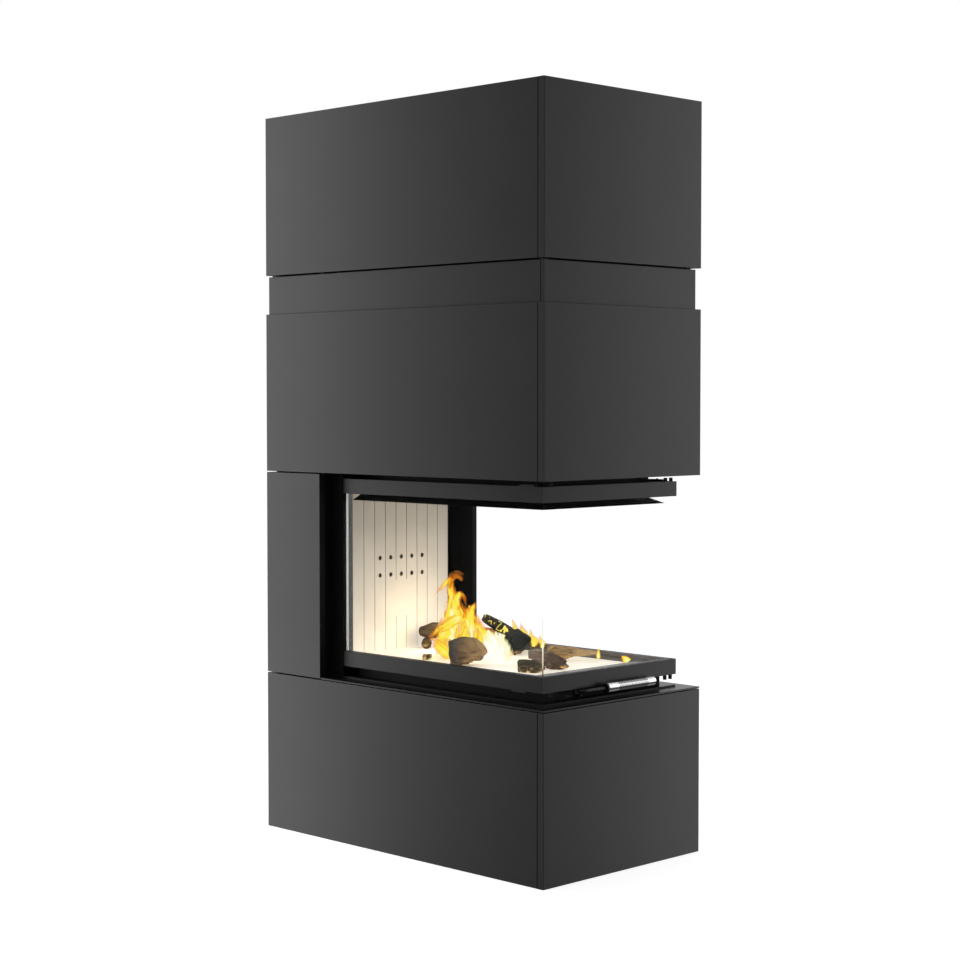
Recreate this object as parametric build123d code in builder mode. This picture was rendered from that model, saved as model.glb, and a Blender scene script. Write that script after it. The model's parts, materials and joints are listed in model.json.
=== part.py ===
import math
import os

from build123d import *

# Three-sided fireplace insert in its steel casing.
# +Z is up and the origin is the middle of the footprint on the floor.
# X runs along the casing: the closed column is at -X, the short glazed end at +X.
# The two long glazed faces are the front, at -Y, and the rear, at +Y. All sizes are in mm.

# Casing modules, from the floor up
case_length = 1000.0
case_width = 567.0
base_height = 408.5
column_length = 213.0
column_height = 526.5
hood_height = 410.0
band_height = 98.0
band_recess = 9.7
crown_height = 410.0
module_seam = 3.0
sheet = 2.0
tray_depth = 18.5
corner_seam = 2.0
bend_radius = 1.0
wall_setback = 3.0
wall_tray_depth = 15.0
wall_panel_gap = 0.5
rail_width = 15.0
rail_height = 20.0
weld_gap = 0.2
foot_height = 15.0
foot_pad_height = 5.0
frame_foot_radius = 7.0
frame_stud_radius = 4.0
cover_thickness = 3.0
cover_gap = 0.3
cover_flue_radius = 110.0
vent_slot_length = 110.0
vent_slot_width = 9.0
vent_slot_pitch = 22.0
vent_slot_count = 5
panel_screw_radius = 4.5
panel_screw_head = 2.4

# Deck between the base and the firebox
deck_groove = 2.0
deck_thickness = 4.0
deck_column_gap = 2.0
riser_thickness = 4.5
riser_inset = 42.5

# Stand under the deck
stand_tube = 30.0
stand_foot_radius = 20.0
stand_stud_radius = 6.0
air_bore_radius = 62.5
air_collar_wall = 2.0
air_collar_length = 80.0
air_flange_width = 18.0
air_flange_thickness = 3.0

# Plinth and hearth
plinth_inset = 70.4
plinth_height = 26.0
plinth_wall = 3.0
plinth_end_gap = 26.0
pedestal_inset = 120.0
hearth_plate_inset = 60.5
hearth_plate_thickness = 3.0
rim_height = 25.0
rim_long_width = 17.5
rim_end_width = 74.5
brick_thickness = 18.0
brick_joint = 1.0
bricks_along = 3
bricks_across = 2

# Closed end of the firebox
firebox_wall = 3.0
lining_thickness = 17.0
insulation_thickness = 28.0
lining_setback = 2.0
lining_rib = 38.06
lining_rib_count = 9
groove_width = 2.0
groove_depth = 3.0
nozzle_radius = 6.0
nozzle_depth = 9.0
nozzle_count = 5
nozzle_rows = 2
nozzle_row_step = 46.0
nozzle_low_rise = 217.0
blank_field_low = 106.0
blank_field_height = 96.0

# Lifting door: three glazed sides in mitred bars
door_inset = 41.5
bar_depth = 18.0
bar_floor_gap = 26.5
lower_bar_height = 38.5
upper_bar_height = 37.0
bar_hood_gap = 15.0
bar_wall = 2.5
bar_web = 14.5
mitre_gap = 0.4
glass_setback = 3.0
glass_thickness = 4.0
glass_play = 0.2
glass_groove_depth = 12.0
lift_margin = 17.0
bracket_length = 47.0
bracket_thickness = 4.0
bracket_edge = 2.0
bracket_top_start = 31.5
bracket_bottom_start = 56.5
bracket_screw_radius = 3.0
bracket_screw_head = 1.6
door_bolt_radius = 5.0
door_bolt_sides = 6
door_stud_radius = 3.0
door_bolt_top = 9.0
door_bolt_bottom = 12.0
far_bolt_start = 11.5
far_bolt_pitch = 21.0
near_bolt_start = 35.0

# Guide rails, carriages, pulleys and counterweights
guide_width = 43.5
guide_depth = 16.5
guide_wall = 2.0
guide_door_gap = 1.5
guide_seat = 0.3
guide_spare = 34.0
reveal_thickness = 2.0
carriage_play = 0.3
carriage_web = 8.0
carriage_glass_gap = 3.0
shoe_length = 60.0
cable_radius = 2.0
cable_bore_play = 0.25
cable_grip = 30.0
pulley_radius = 60.0
pulley_flange = 4.0
pulley_width = 12.0
pulley_groove = 6.0
pulley_seat = 0.3
axle_radius = 5.0
axle_play = 0.05
axle_overhang = 1.0
ear_gap = 2.5
ear_thickness = 2.5
ear_width = 40.0
ear_above_axle = 20.0
bridge_width = 30.0
bridge_height = 20.0
pulley_rise = 73.0
weight_width = 80.0
weight_thickness = 31.5
weight_height = 560.0
weight_hang = 125.0

# Handle
grip_radius = 10.75
grip_length = 171.0
grip_chamfer = 1.2
grip_inset = 29.0
grip_drop = 5.5
grip_start = 252.0
cap_length = 6.0
rod_radius = 4.5
rod_bend = 14.0
pivot_inset = 51.0
pivot_start = 166.0
boss_radius = 8.0
boss_play = 0.3
pivot_pin_radius = 3.0
pivot_play = 0.05
pivot_head_radius = 6.0
pivot_head_height = 3.0

# Air slide
slot_start = 152.0
slot_length = 50.0
slot_low = 2.0
slot_height = 7.0
knob_radius = 3.0
knob_reach = 11.0
knob_start = 194.5
slide_thickness = 3.0
slide_height = 20.0
slide_length = 96.0
slide_play = 0.3

# Smoke dome, skirt, baffle and flue
dome_inset = 91.0
dome_drop = 4.0
dome_wall = 3.0
dome_straight = 125.0
dome_taper = 220.0
dome_top_length = 260.0
dome_top_width = 230.0
flue_radius = 90.0
flue_wall = 2.0
flue_length = 60.0
skirt_inset = 61.8
skirt_drop = 13.5
skirt_run = 5.0
skirt_flange = 30.0
skirt_flange_thickness = 2.0
skirt_end_gap = 13.0
baffle_thickness = 25.0
baffle_rise = 50.0
baffle_side_gap = 30.0
baffle_end_gap = 78.0
baffle_bar_radius = 5.0

# Logs: places as shares of the fire bed, sizes as shares of one log, turn in degrees
log_length = 220.0
log_half = 30.0
log_sides = 8
log_play = 0.3
bed_log_shares = {
    "split_front": (0.574, -0.608, 0.40, 1.03, 0.90, 20),
    "short_front": (0.885, -0.511, 0.30, 0.52, 0.90, 25),
    "long_middle": (0.829, -0.034, 0.72, 0.83, 0.92, -18),
    "long_rear": (0.763, 0.637, 0.58, 0.66, 0.50, 43),
    "chock_left": (0.075, 0.224, 0.20, 0.45, 1.00, -45),
    "chock_right": (0.132, 0.409, 0.20, 0.45, 1.00, -45),
    "block_high": (0.332, 0.545, 0.30, 1.03, 1.00, -45),
    "block_low": (0.403, 0.767, 0.23, 0.47, 1.00, -45),
    "charred_front": (0.486, 0.584, 0.23, 0.97, 1.00, -45),
    "ember": (0.345, -0.574, 0.11, 0.25, 1.00, 30),
}
chock_log_shares = (0.43, 0.62, 0.90)
chock_log_turn = 45
top_log_shares = (0.50, 0.385, 1.00)

overrun = 5.0

sides = {"front": -1, "rear": 1}
half_length = case_length / 2
half_width = case_width / 2

# Levels that follow from the sizes above
base_top = base_height
column_low = base_top + module_seam
column_top = column_low + column_height
hood_low = column_top + module_seam
hood_top = hood_low + hood_height
band_top = hood_top + band_height
crown_low = band_top + module_seam
crown_top = crown_low + crown_height
deck_low = base_top + deck_groove
deck_top = deck_low + deck_thickness
riser_top = deck_top + riser_thickness
plinth_top = riser_top + plinth_height
lower_bar_low = riser_top + bar_floor_gap
lower_bar_top = lower_bar_low + lower_bar_height
upper_bar_top = hood_low - bar_hood_gap
upper_bar_low = upper_bar_top - upper_bar_height
lift_travel = hood_low - lower_bar_top - lift_margin
hearth_top = plinth_top + hearth_plate_thickness
bed_top = hearth_top + brick_thickness
rim_top = hearth_top + rim_height
dome_low = upper_bar_low - dome_drop
rail_top = crown_top - cover_thickness

# Stations along X that follow from the sizes above
reveal_x = -half_length + column_length
door_wall_x = reveal_x + guide_width + guide_door_gap
lining_x = reveal_x + lining_setback
insulation_x = lining_x - lining_thickness
end_wall_x = insulation_x - insulation_thickness
upright_wall_x = -half_length + wall_setback + wall_tray_depth
upright_door_x = reveal_x - reveal_thickness
plinth_wall_x = door_wall_x + plinth_end_gap
guide_x = reveal_x + guide_width / 2
pulley_x = guide_x - pulley_radius
weight_x = pulley_x - pulley_radius

# The lifting gear lies in the middle of the guide rail's depth
lift_inset = door_inset + guide_depth / 2
pulley_z = crown_low + rail_height + bridge_height + pulley_rise
weight_top = pulley_z - weight_hang


def end_at(inset):
    """X of a line that lies this far inside the glazed end's casing face."""
    return half_length - inset


def side_at(inset):
    """Distance from the middle plane of a line this far inside a long casing face."""
    return half_width - inset


def block(x, y, z, mode=Mode.ADD):
    """A box between two x, two y and two z values, in the part being built."""
    ends = [sorted(pair) for pair in (x, y, z)]
    with Locations(tuple(sum(pair) / 2 for pair in ends)):
        Box(*[high - low for low, high in ends], mode=mode)


def post(x, y, z, radius, mode=Mode.ADD):
    """A round bar along Z between two z values, in the part being built."""
    with Locations((x, y, sum(z) / 2)):
        Cylinder(radius, abs(z[1] - z[0]), mode=mode)


def tray(x, y, z, axis, outer_low):
    """A folded sheet tray whose outer face looks down the axis, or up it."""
    block(x, y, z)
    box_ends = [sorted(pair) for pair in (x, y, z)]
    pocket = [[low + sheet, high - sheet] for low, high in box_ends]
    index = (Axis.X, Axis.Y, Axis.Z).index(axis)
    open_end = 1 if outer_low else 0
    reach = overrun if outer_low else -overrun
    pocket[index][open_end] = box_ends[index][open_end] + reach
    block(*pocket, mode=Mode.SUBTRACT)
    outer = faces().sort_by(axis)[0 if outer_low else -1]
    fillet(outer.edges(), bend_radius)


def strip(side, outer, inner, low, high, gap=0, mode=Mode.ADD):
    """One side of the door's U in plan, mitred at the glazed end's corners."""
    long_outer, long_inner = side_at(outer), side_at(inner)
    if side == "end":
        outline = [
            (end_at(outer), -long_outer),
            (end_at(outer), long_outer),
            (end_at(inner), long_inner),
            (end_at(inner), -long_inner),
        ]
    else:
        way = sides[side]
        outline = [
            (door_wall_x, way * long_outer),
            (end_at(outer) - gap, way * long_outer),
            (end_at(inner) - gap, way * long_inner),
            (door_wall_x, way * long_inner),
        ]
    with BuildSketch(Plane.XY.offset(low)) as plan:
        with BuildLine():
            Polyline(*outline, close=True)
        make_face()
    extrude(plan.sketch, amount=high - low, mode=mode)


def write(builder, label):
    """Name a finished piece and write its STEP file."""
    builder.part.label = label
    export_step(builder.part, f"parts/{label}.step")


os.makedirs("parts", exist_ok=True)

# Cladding trays. The end tray's flanges show on the long faces beside the corners.
modules = {
    "base": (0, base_top, 0),
    "hood": (hood_low, hood_top, 0),
    "band": (hood_top, band_top, band_recess),
    "crown": (crown_low, crown_top, 0),
}
for module, (low, high, recess) in modules.items():
    flange_x = end_at(tray_depth)
    for side, way in sides.items():
        with BuildPart() as long_panel:
            tray(
                (-half_length, flange_x - corner_seam),
                (way * side_at(recess), way * side_at(tray_depth)),
                (low, high),
                Axis.Y,
                way < 0,
            )
        write(long_panel, f"{module}_{side}_panel")
    with BuildPart() as end_panel:
        tray(
            (flange_x, end_at(recess)),
            (-side_at(recess), side_at(recess)),
            (low, high),
            Axis.X,
            False,
        )
    write(end_panel, f"{module}_end_panel")

for side, way in sides.items():
    with BuildPart() as column_panel:
        tray(
            (-half_length, reveal_x),
            (way * half_width, way * side_at(tray_depth)),
            (column_low, column_top),
            Axis.Y,
            way < 0,
        )
    write(column_panel, f"column_{side}_panel")

wall_panels = {
    "base": (0, base_top),
    "column": (column_low, column_top),
    "upper": (hood_low, crown_top),
}
wall_panel_half = side_at(tray_depth) - wall_panel_gap
for module, (low, high) in wall_panels.items():
    with BuildPart() as wall_panel:
        tray(
            (-half_length + wall_setback, upright_wall_x),
            (-wall_panel_half, wall_panel_half),
            (low, high),
            Axis.X,
            True,
        )
    write(wall_panel, f"{module}_wall_panel")

# Pan-head screws that hold the wall-side panels, four to a panel
with BuildPart() as panel_screws:
    face_x = -half_length + wall_setback
    edge_y = wall_panel_half - tray_depth
    for low, high in wall_panels.values():
        for z in (low + tray_depth, high - tray_depth):
            for way in (-1, 1):
                with BuildSketch(Plane.YZ.offset(face_x)):
                    with Locations((way * edge_y, z)):
                        Circle(panel_screw_radius)
                extrude(amount=-panel_screw_head)
write(panel_screws, "panel_screws")

# Casing frame: welded square bars behind the trays
rail_outer = side_at(tray_depth)
rail_inner = side_at(tray_depth + rail_width)
corner_outer = end_at(tray_depth)
corner_inner = end_at(tray_depth + rail_width)


def rails(low, high):
    """One level of rails on all four sides, between the uprights and the corner posts."""
    cross_end = rail_inner - weld_gap
    for way in (-1, 1):
        lane = (way * rail_outer, way * rail_inner)
        first = upright_wall_x + rail_width + weld_gap
        last = upright_door_x - rail_width - weld_gap
        block((first, last), lane, (low, high))
        block((upright_door_x + weld_gap, corner_inner - weld_gap), lane, (low, high))
    block((corner_inner, corner_outer), (-cross_end, cross_end), (low, high))
    block((upright_wall_x, upright_wall_x + rail_width), (-cross_end, cross_end), (low, high))


def corner_posts(low, high):
    """The two posts at the glazed end's corners."""
    for way in (-1, 1):
        block((corner_inner, corner_outer), (way * rail_outer, way * rail_inner), (low, high))


with BuildPart() as column_uprights:
    for way in (-1, 1):
        lane = (way * rail_outer, way * rail_inner)
        block((upright_wall_x, upright_wall_x + rail_width), lane, (foot_height, rail_top))
        block((upright_door_x - rail_width, upright_door_x), lane, (foot_height, rail_top))
write(column_uprights, "column_uprights")

with BuildPart() as base_frame:
    rails(foot_height, foot_height + rail_height)
    rails(deck_low - rail_height, deck_low)
    corner_posts(foot_height, deck_low)
write(base_frame, "base_frame")

with BuildPart() as upper_frame:
    for low in (hood_low, hood_top - rail_height, crown_low, rail_top - rail_height):
        rails(low, low + rail_height)
    corner_posts(hood_low, rail_top)
write(upper_frame, "upper_frame")

# Top cover, flush with the crown trays, with the flue opening and convection slots
flue_x = (end_wall_x + end_at(dome_inset)) / 2
with BuildPart() as top_cover:
    cover_half = side_at(tray_depth + cover_gap)
    block(
        (-half_length + wall_setback + wall_tray_depth + cover_gap, end_at(tray_depth) - cover_gap),
        (-cover_half, cover_half),
        (rail_top, crown_top),
    )
    post(flue_x, 0, (rail_top - overrun, crown_top + overrun), cover_flue_radius, Mode.SUBTRACT)
    for way in (-1, 1):
        slot_x = flue_x + way * (cover_flue_radius + vent_slot_length)
        with BuildSketch(Plane.XY.offset(rail_top)):
            with Locations((slot_x, 0)):
                with GridLocations(0, vent_slot_pitch, 1, vent_slot_count):
                    SlotOverall(vent_slot_length, vent_slot_width)
        extrude(amount=cover_thickness, mode=Mode.SUBTRACT)
write(top_cover, "top_cover")

# Deck plate and the raised plate that carries the plinth, both bored for the air duct
plinth_front_x = end_at(plinth_inset)
air_x = (plinth_wall_x + plinth_front_x) / 2
with BuildPart() as deck_plate:
    block((reveal_x + deck_column_gap, half_length), (-half_width, half_width), (deck_low, deck_top))
    fillet(deck_plate.faces().sort_by(Axis.Z)[-1].edges(), bend_radius)
    post(air_x, 0, (deck_low - overrun, deck_top + overrun), air_bore_radius, Mode.SUBTRACT)
write(deck_plate, "deck_plate")

with BuildPart() as deck_riser:
    riser_half = side_at(riser_inset)
    riser_x = (reveal_x + deck_column_gap, end_at(riser_inset))
    block(riser_x, (-riser_half, riser_half), (deck_top, riser_top))
    post(air_x, 0, (deck_top - overrun, riser_top + overrun), air_bore_radius, Mode.SUBTRACT)
write(deck_riser, "deck_riser")

# Stand that carries the deck: four legs and a top frame of square tube
plinth_half = side_at(plinth_inset)
with BuildPart() as insert_stand:
    rail_low = deck_low - stand_tube
    lanes = ((-plinth_half, -plinth_half + stand_tube), (plinth_half - stand_tube, plinth_half))
    ends = ((plinth_wall_x, plinth_wall_x + stand_tube), (plinth_front_x - stand_tube, plinth_front_x))
    for lane in lanes:
        block((plinth_wall_x, plinth_front_x), lane, (rail_low, deck_low))
        for end in ends:
            block(end, lane, (foot_height, rail_low - weld_gap))
    for end in ends:
        block(end, (lanes[0][1] + weld_gap, lanes[1][0] - weld_gap), (rail_low, deck_low))
write(insert_stand, "insert_stand")

with BuildPart() as levelling_feet:
    for lane in lanes:
        for end in ends:
            x, y = sum(end) / 2, sum(lane) / 2
            post(x, y, (0, foot_pad_height), stand_foot_radius)
            post(x, y, (foot_pad_height, foot_height), stand_stud_radius)
    frame_y = (rail_outer + rail_inner) / 2
    for x in (
        upright_wall_x + rail_width / 2,
        upright_door_x - rail_width / 2,
        corner_inner + rail_width / 2,
    ):
        for way in (-1, 1):
            post(x, way * frame_y, (0, foot_pad_height), frame_foot_radius)
            post(x, way * frame_y, (foot_pad_height, foot_height), frame_stud_radius)
write(levelling_feet, "levelling_feet")

with BuildPart() as air_inlet_collar:
    outer_radius = air_bore_radius + air_collar_wall
    bottom = deck_low - air_collar_length
    post(air_x, 0, (bottom, deck_low), outer_radius)
    post(air_x, 0, (deck_low - air_flange_thickness, deck_low), outer_radius + air_flange_width)
    post(air_x, 0, (bottom - overrun, deck_low + overrun), air_bore_radius, Mode.SUBTRACT)
write(air_inlet_collar, "air_inlet_collar")

# Plinth: skirt, narrow pedestal at the closed end and the hearth plate on top
slot_low_z = riser_top + slot_low
with BuildPart() as plinth:
    block((plinth_wall_x, plinth_front_x), (-plinth_half, plinth_half), (riser_top, plinth_top))
    pedestal_half = side_at(pedestal_inset)
    pedestal_x = (end_wall_x - firebox_wall, plinth_wall_x)
    block(pedestal_x, (-pedestal_half, pedestal_half), (riser_top, plinth_top))
    block(
        (plinth_wall_x + plinth_wall, plinth_front_x - plinth_wall),
        (-plinth_half + plinth_wall, plinth_half - plinth_wall),
        (riser_top - overrun, plinth_top),
        Mode.SUBTRACT,
    )
    block(
        (plinth_front_x - plinth_wall - overrun, plinth_front_x + overrun),
        (-half_width + slot_start, -half_width + slot_start + slot_length),
        (slot_low_z, slot_low_z + slot_height),
        Mode.SUBTRACT,
    )
    plate_half = side_at(hearth_plate_inset)
    block(
        (end_wall_x - firebox_wall, end_at(hearth_plate_inset)),
        (-plate_half, plate_half),
        (plinth_top, hearth_top),
    )
write(plinth, "plinth")

# Hearth rim: three bars round the fire bed
rim_inner_half = plate_half - rim_long_width
rim_outer_x = end_at(hearth_plate_inset)
rim_inner_x = rim_outer_x - rim_end_width
with BuildPart() as hearth_rim:
    for way in (-1, 1):
        block((end_wall_x, rim_outer_x), (way * plate_half, way * rim_inner_half), (hearth_top, rim_top))
    rim_end_half = rim_inner_half - mitre_gap
    block((rim_inner_x, rim_outer_x), (-rim_end_half, rim_end_half), (hearth_top, rim_top))
write(hearth_rim, "hearth_rim")

bed_length = rim_inner_x - lining_x
with BuildPart() as hearth_bricks:
    brick_length = bed_length / bricks_along - brick_joint
    brick_width = 2 * rim_inner_half / bricks_across - brick_joint
    with BuildSketch(Plane.XY.offset(hearth_top)):
        with Locations(((lining_x + rim_inner_x) / 2, 0)):
            with GridLocations(
                bed_length / bricks_along, 2 * rim_inner_half / bricks_across, bricks_along, bricks_across
            ):
                Rectangle(brick_length, brick_width)
    extrude(amount=brick_thickness)
write(hearth_bricks, "hearth_bricks")

# Ribbed end lining with ten air holes; two grooves stop round a bare field
lining_half = lining_rib * lining_rib_count / 2
with BuildPart() as end_lining:
    block((insulation_x, lining_x), (-lining_half, lining_half), (hearth_top, dome_low))
    field_low = hearth_top + blank_field_low
    field_high = field_low + blank_field_height
    cut_x = (lining_x - groove_depth, lining_x + overrun)
    for number in range(1, lining_rib_count):
        y = -lining_half + number * lining_rib
        cut_y = (y - groove_width / 2, y + groove_width / 2)
        middle = abs(number - lining_rib_count / 2) < 1
        heights = [(hearth_top - overrun, dome_low + overrun)]
        if middle:
            heights = [(hearth_top - overrun, field_low), (field_high, dome_low + overrun)]
        for height in heights:
            block(cut_x, cut_y, height, Mode.SUBTRACT)
    with BuildSketch(Plane.YZ.offset(lining_x)):
        with Locations((0, hearth_top + nozzle_low_rise + nozzle_row_step / 2)):
            with GridLocations(lining_rib, nozzle_row_step, nozzle_count, nozzle_rows):
                Circle(nozzle_radius)
    extrude(amount=-nozzle_depth, mode=Mode.SUBTRACT)
write(end_lining, "end_lining")

with BuildPart() as end_insulation:
    block((end_wall_x, insulation_x), (-lining_half, lining_half), (hearth_top, dome_low))
write(end_insulation, "end_insulation")

# Steel end wall with returns to the guide rails
with BuildPart() as firebox_end_wall:
    wall_half = side_at(door_inset + guide_depth + guide_seat)
    wall_high = dome_low + dome_straight
    block((end_wall_x - firebox_wall, end_wall_x), (-wall_half, wall_half), (hearth_top, wall_high))
    for way in (-1, 1):
        block(
            (end_wall_x, upright_door_x),
            (way * wall_half, way * (wall_half - firebox_wall)),
            (rim_top, wall_high),
        )
write(firebox_end_wall, "firebox_end_wall")

# Reveal plates close the gap between the column panels and the guide rails
guide_top = upper_bar_top + lift_travel + guide_spare
guide_low = riser_top + guide_seat
guide_inner = door_inset + guide_depth
with BuildPart() as column_reveals:
    for way in (-1, 1):
        block(
            (upright_door_x, reveal_x),
            (way * side_at(tray_depth + guide_seat), way * side_at(guide_inner)),
            (column_low, column_top),
        )
        block(
            (upright_door_x, reveal_x),
            (way * (rail_inner - guide_seat), way * side_at(guide_inner)),
            (column_top, guide_top),
        )
write(column_reveals, "column_reveals")

# Guide rails: C sections, open towards the door, with a foot plate
with BuildPart() as guide_rails:
    for way in (-1, 1):
        rail_x = (reveal_x, reveal_x + guide_width)
        block(rail_x, (way * side_at(door_inset), way * side_at(guide_inner)), (guide_low, guide_top))
        block(
            (reveal_x + guide_wall, reveal_x + guide_width + overrun),
            (way * side_at(door_inset + guide_wall), way * side_at(guide_inner - guide_wall)),
            (guide_low + guide_wall, guide_top + overrun),
            Mode.SUBTRACT,
        )
write(guide_rails, "guide_rails")

# Door bars: hollow, mitred, grooved for the glass
glass_outer = door_inset + glass_setback
glass_inner = glass_outer + glass_thickness
bar_inner = door_inset + bar_depth
door_sides = ("front", "end", "rear")
with BuildPart() as lower_door_bars:
    for side in door_sides:
        strip(side, door_inset, bar_inner, lower_bar_low, lower_bar_top, mitre_gap)
        strip(
            side,
            glass_outer - glass_play,
            glass_inner + glass_play,
            lower_bar_top - glass_groove_depth,
            lower_bar_top + overrun,
            mode=Mode.SUBTRACT,
        )
        strip(
            side,
            door_inset + bar_wall,
            bar_inner - bar_wall,
            lower_bar_low - overrun,
            lower_bar_top - bar_web,
            mitre_gap,
            Mode.SUBTRACT,
        )
write(lower_door_bars, "lower_door_bars")

with BuildPart() as upper_door_bars:
    for side in door_sides:
        strip(side, door_inset, bar_inner, upper_bar_low, upper_bar_top, mitre_gap)
        strip(
            side,
            glass_outer - glass_play,
            glass_inner + glass_play,
            upper_bar_low - overrun,
            upper_bar_low + glass_groove_depth,
            mode=Mode.SUBTRACT,
        )
        strip(
            side,
            door_inset + bar_wall,
            bar_inner - bar_wall,
            upper_bar_low + bar_web,
            upper_bar_top + overrun,
            mitre_gap,
            Mode.SUBTRACT,
        )
write(upper_door_bars, "upper_door_bars")

# Glass panes, standing in the grooves and mitred along the frameless corners
glass_low = lower_bar_top - glass_groove_depth + glass_play
glass_high = upper_bar_low + glass_groove_depth - glass_play
for side in door_sides:
    with BuildPart() as pane:
        strip(side, glass_outer, glass_inner, glass_low, glass_high, mitre_gap)
    write(pane, f"glass_{side}")

# Carriages: flat bars with a shoe at each end, running in the guide rails
shoe_outer = door_inset + guide_wall + carriage_play
shoe_inner = guide_inner - guide_wall - carriage_play
with BuildPart() as door_carriages:
    for way in (-1, 1):
        web_lane = [way * side_at(lift_inset + half) for half in (-carriage_web / 2, carriage_web / 2)]
        shoe_lane = (way * side_at(shoe_outer), way * side_at(shoe_inner))
        back_x = reveal_x + guide_wall + carriage_play
        shoe_x = reveal_x + guide_width - carriage_glass_gap
        block((back_x, door_wall_x - carriage_glass_gap), web_lane, (lower_bar_low, upper_bar_top))
        for low, high in ((lower_bar_low, lower_bar_top), (upper_bar_low, upper_bar_top)):
            block((door_wall_x - carriage_glass_gap, door_wall_x), web_lane, (low, high))
        for low in (lower_bar_low, upper_bar_top - shoe_length):
            block((back_x, shoe_x), shoe_lane, (low, low + shoe_length))
write(door_carriages, "door_carriages")

# Corner plates on the long bars beside the near corner, each with a screw
plate_lane_inset = (door_inset + bracket_edge, bar_inner - bracket_edge)
with BuildPart() as corner_plates:
    for way in (-1, 1):
        lane = [way * side_at(inset) for inset in plate_lane_inset]
        middle_y = sum(lane) / 2
        top_x = end_at(door_inset) - bracket_top_start
        low_x = end_at(door_inset) - bracket_bottom_start
        block((top_x - bracket_length, top_x), lane, (upper_bar_top, upper_bar_top + bracket_thickness))
        block((low_x - bracket_length, low_x), lane, (lower_bar_low - bracket_thickness, lower_bar_low))
        top_z = upper_bar_top + bracket_thickness
        low_z = lower_bar_low - bracket_thickness
        for x, z, head in (
            (top_x - bracket_length / 2, top_z, bracket_screw_head),
            (low_x - bracket_length / 2, low_z, -bracket_screw_head),
        ):
            post(x, middle_y, (z, z + head), bracket_screw_radius)
write(corner_plates, "corner_plates")

# Hexagon bolts on studs that stand in the end bars' webs
bolt_x = end_at(door_inset + bar_depth / 2)
far_y = side_at(door_inset) - far_bolt_start
bolt_stations = (far_y, far_y - far_bolt_pitch, -side_at(door_inset) + near_bolt_start)
lower_web_z = lower_bar_top - bar_web
upper_web_z = upper_bar_low + bar_web
with BuildPart() as door_bolts:
    for web, face, end in (
        (upper_web_z, upper_bar_top, upper_bar_top + door_bolt_top),
        (lower_web_z, lower_bar_low, lower_bar_low - door_bolt_bottom),
    ):
        with BuildSketch(Plane.XY.offset(face)):
            with Locations(*[(bolt_x, y) for y in bolt_stations]):
                RegularPolygon(door_bolt_radius, door_bolt_sides)
        extrude(amount=end - face)
        for y in bolt_stations:
            post(bolt_x, y, (web, end), door_stud_radius)
write(door_bolts, "door_bolts")

# Handle: pivot pin under the lower end bar, bent rod, end cap and knurled grip
pivot_x = end_at(pivot_inset)
pivot_y = -half_width + pivot_start
grip_x = end_at(grip_inset)
grip_z = lower_bar_low - grip_drop
grip_y = -half_width + grip_start
boss_top = lower_bar_low - boss_play
boss_low = grip_z - rod_radius
with BuildPart() as handle_pin:
    post(pivot_x, pivot_y, (boss_low - boss_play, lower_web_z), pivot_pin_radius)
    head_top = boss_low - boss_play
    post(pivot_x, pivot_y, (head_top - pivot_head_height, head_top), pivot_head_radius)
write(handle_pin, "handle_pin")

with BuildPart() as handle_rod:
    with BuildLine():
        FilletPolyline(
            (pivot_x, pivot_y, grip_z),
            (grip_x, pivot_y, grip_z),
            (grip_x, grip_y - cap_length, grip_z),
            radius=rod_bend,
        )
    with BuildSketch(Plane(origin=(pivot_x, pivot_y, grip_z), z_dir=(1, 0, 0))):
        Circle(rod_radius)
    sweep()
    post(pivot_x, pivot_y, (boss_low, boss_top), boss_radius)
    post(
        pivot_x,
        pivot_y,
        (boss_low - overrun, boss_top + overrun),
        pivot_pin_radius + pivot_play,
        Mode.SUBTRACT,
    )
write(handle_rod, "handle_rod")

grip_plane = Plane(origin=(grip_x, grip_y, grip_z), z_dir=(0, 1, 0))
with BuildPart() as handle_cap:
    with BuildSketch(grip_plane):
        Circle(grip_radius)
    extrude(amount=-cap_length)
    fillet(handle_cap.faces().sort_by(Axis.Y)[0].edges(), grip_chamfer)
write(handle_cap, "handle_cap")

with BuildPart() as handle_grip:
    with BuildSketch(grip_plane):
        Circle(grip_radius)
    extrude(amount=grip_length)
    chamfer(handle_grip.faces().sort_by(Axis.Y)[-1].edges(), grip_chamfer)
write(handle_grip, "handle_grip")

# Air slide: a register strip behind the plinth's slot, with its knob
with BuildPart() as air_slide:
    strip_x = plinth_front_x - plinth_wall - slide_play
    strip_y = -half_width + slot_start + slot_length / 2
    strip_low = riser_top + slide_play
    block(
        (strip_x - slide_thickness, strip_x),
        (strip_y - slide_length / 2, strip_y + slide_length / 2),
        (strip_low, strip_low + slide_height),
    )
    with BuildSketch(Plane.YZ.offset(strip_x - slide_thickness)):
        with Locations((-half_width + knob_start, slot_low_z + slot_height / 2)):
            Circle(knob_radius)
    extrude(amount=slide_thickness + slide_play + plinth_wall + knob_reach)
write(air_slide, "air_slide")

# Smoke dome: straight collar over the end wall, then a taper to the flue
dome_half = side_at(dome_inset)
dome_front_x = end_at(dome_inset)
dome_shoulder = dome_low + dome_straight
dome_top = dome_shoulder + dome_taper


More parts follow.
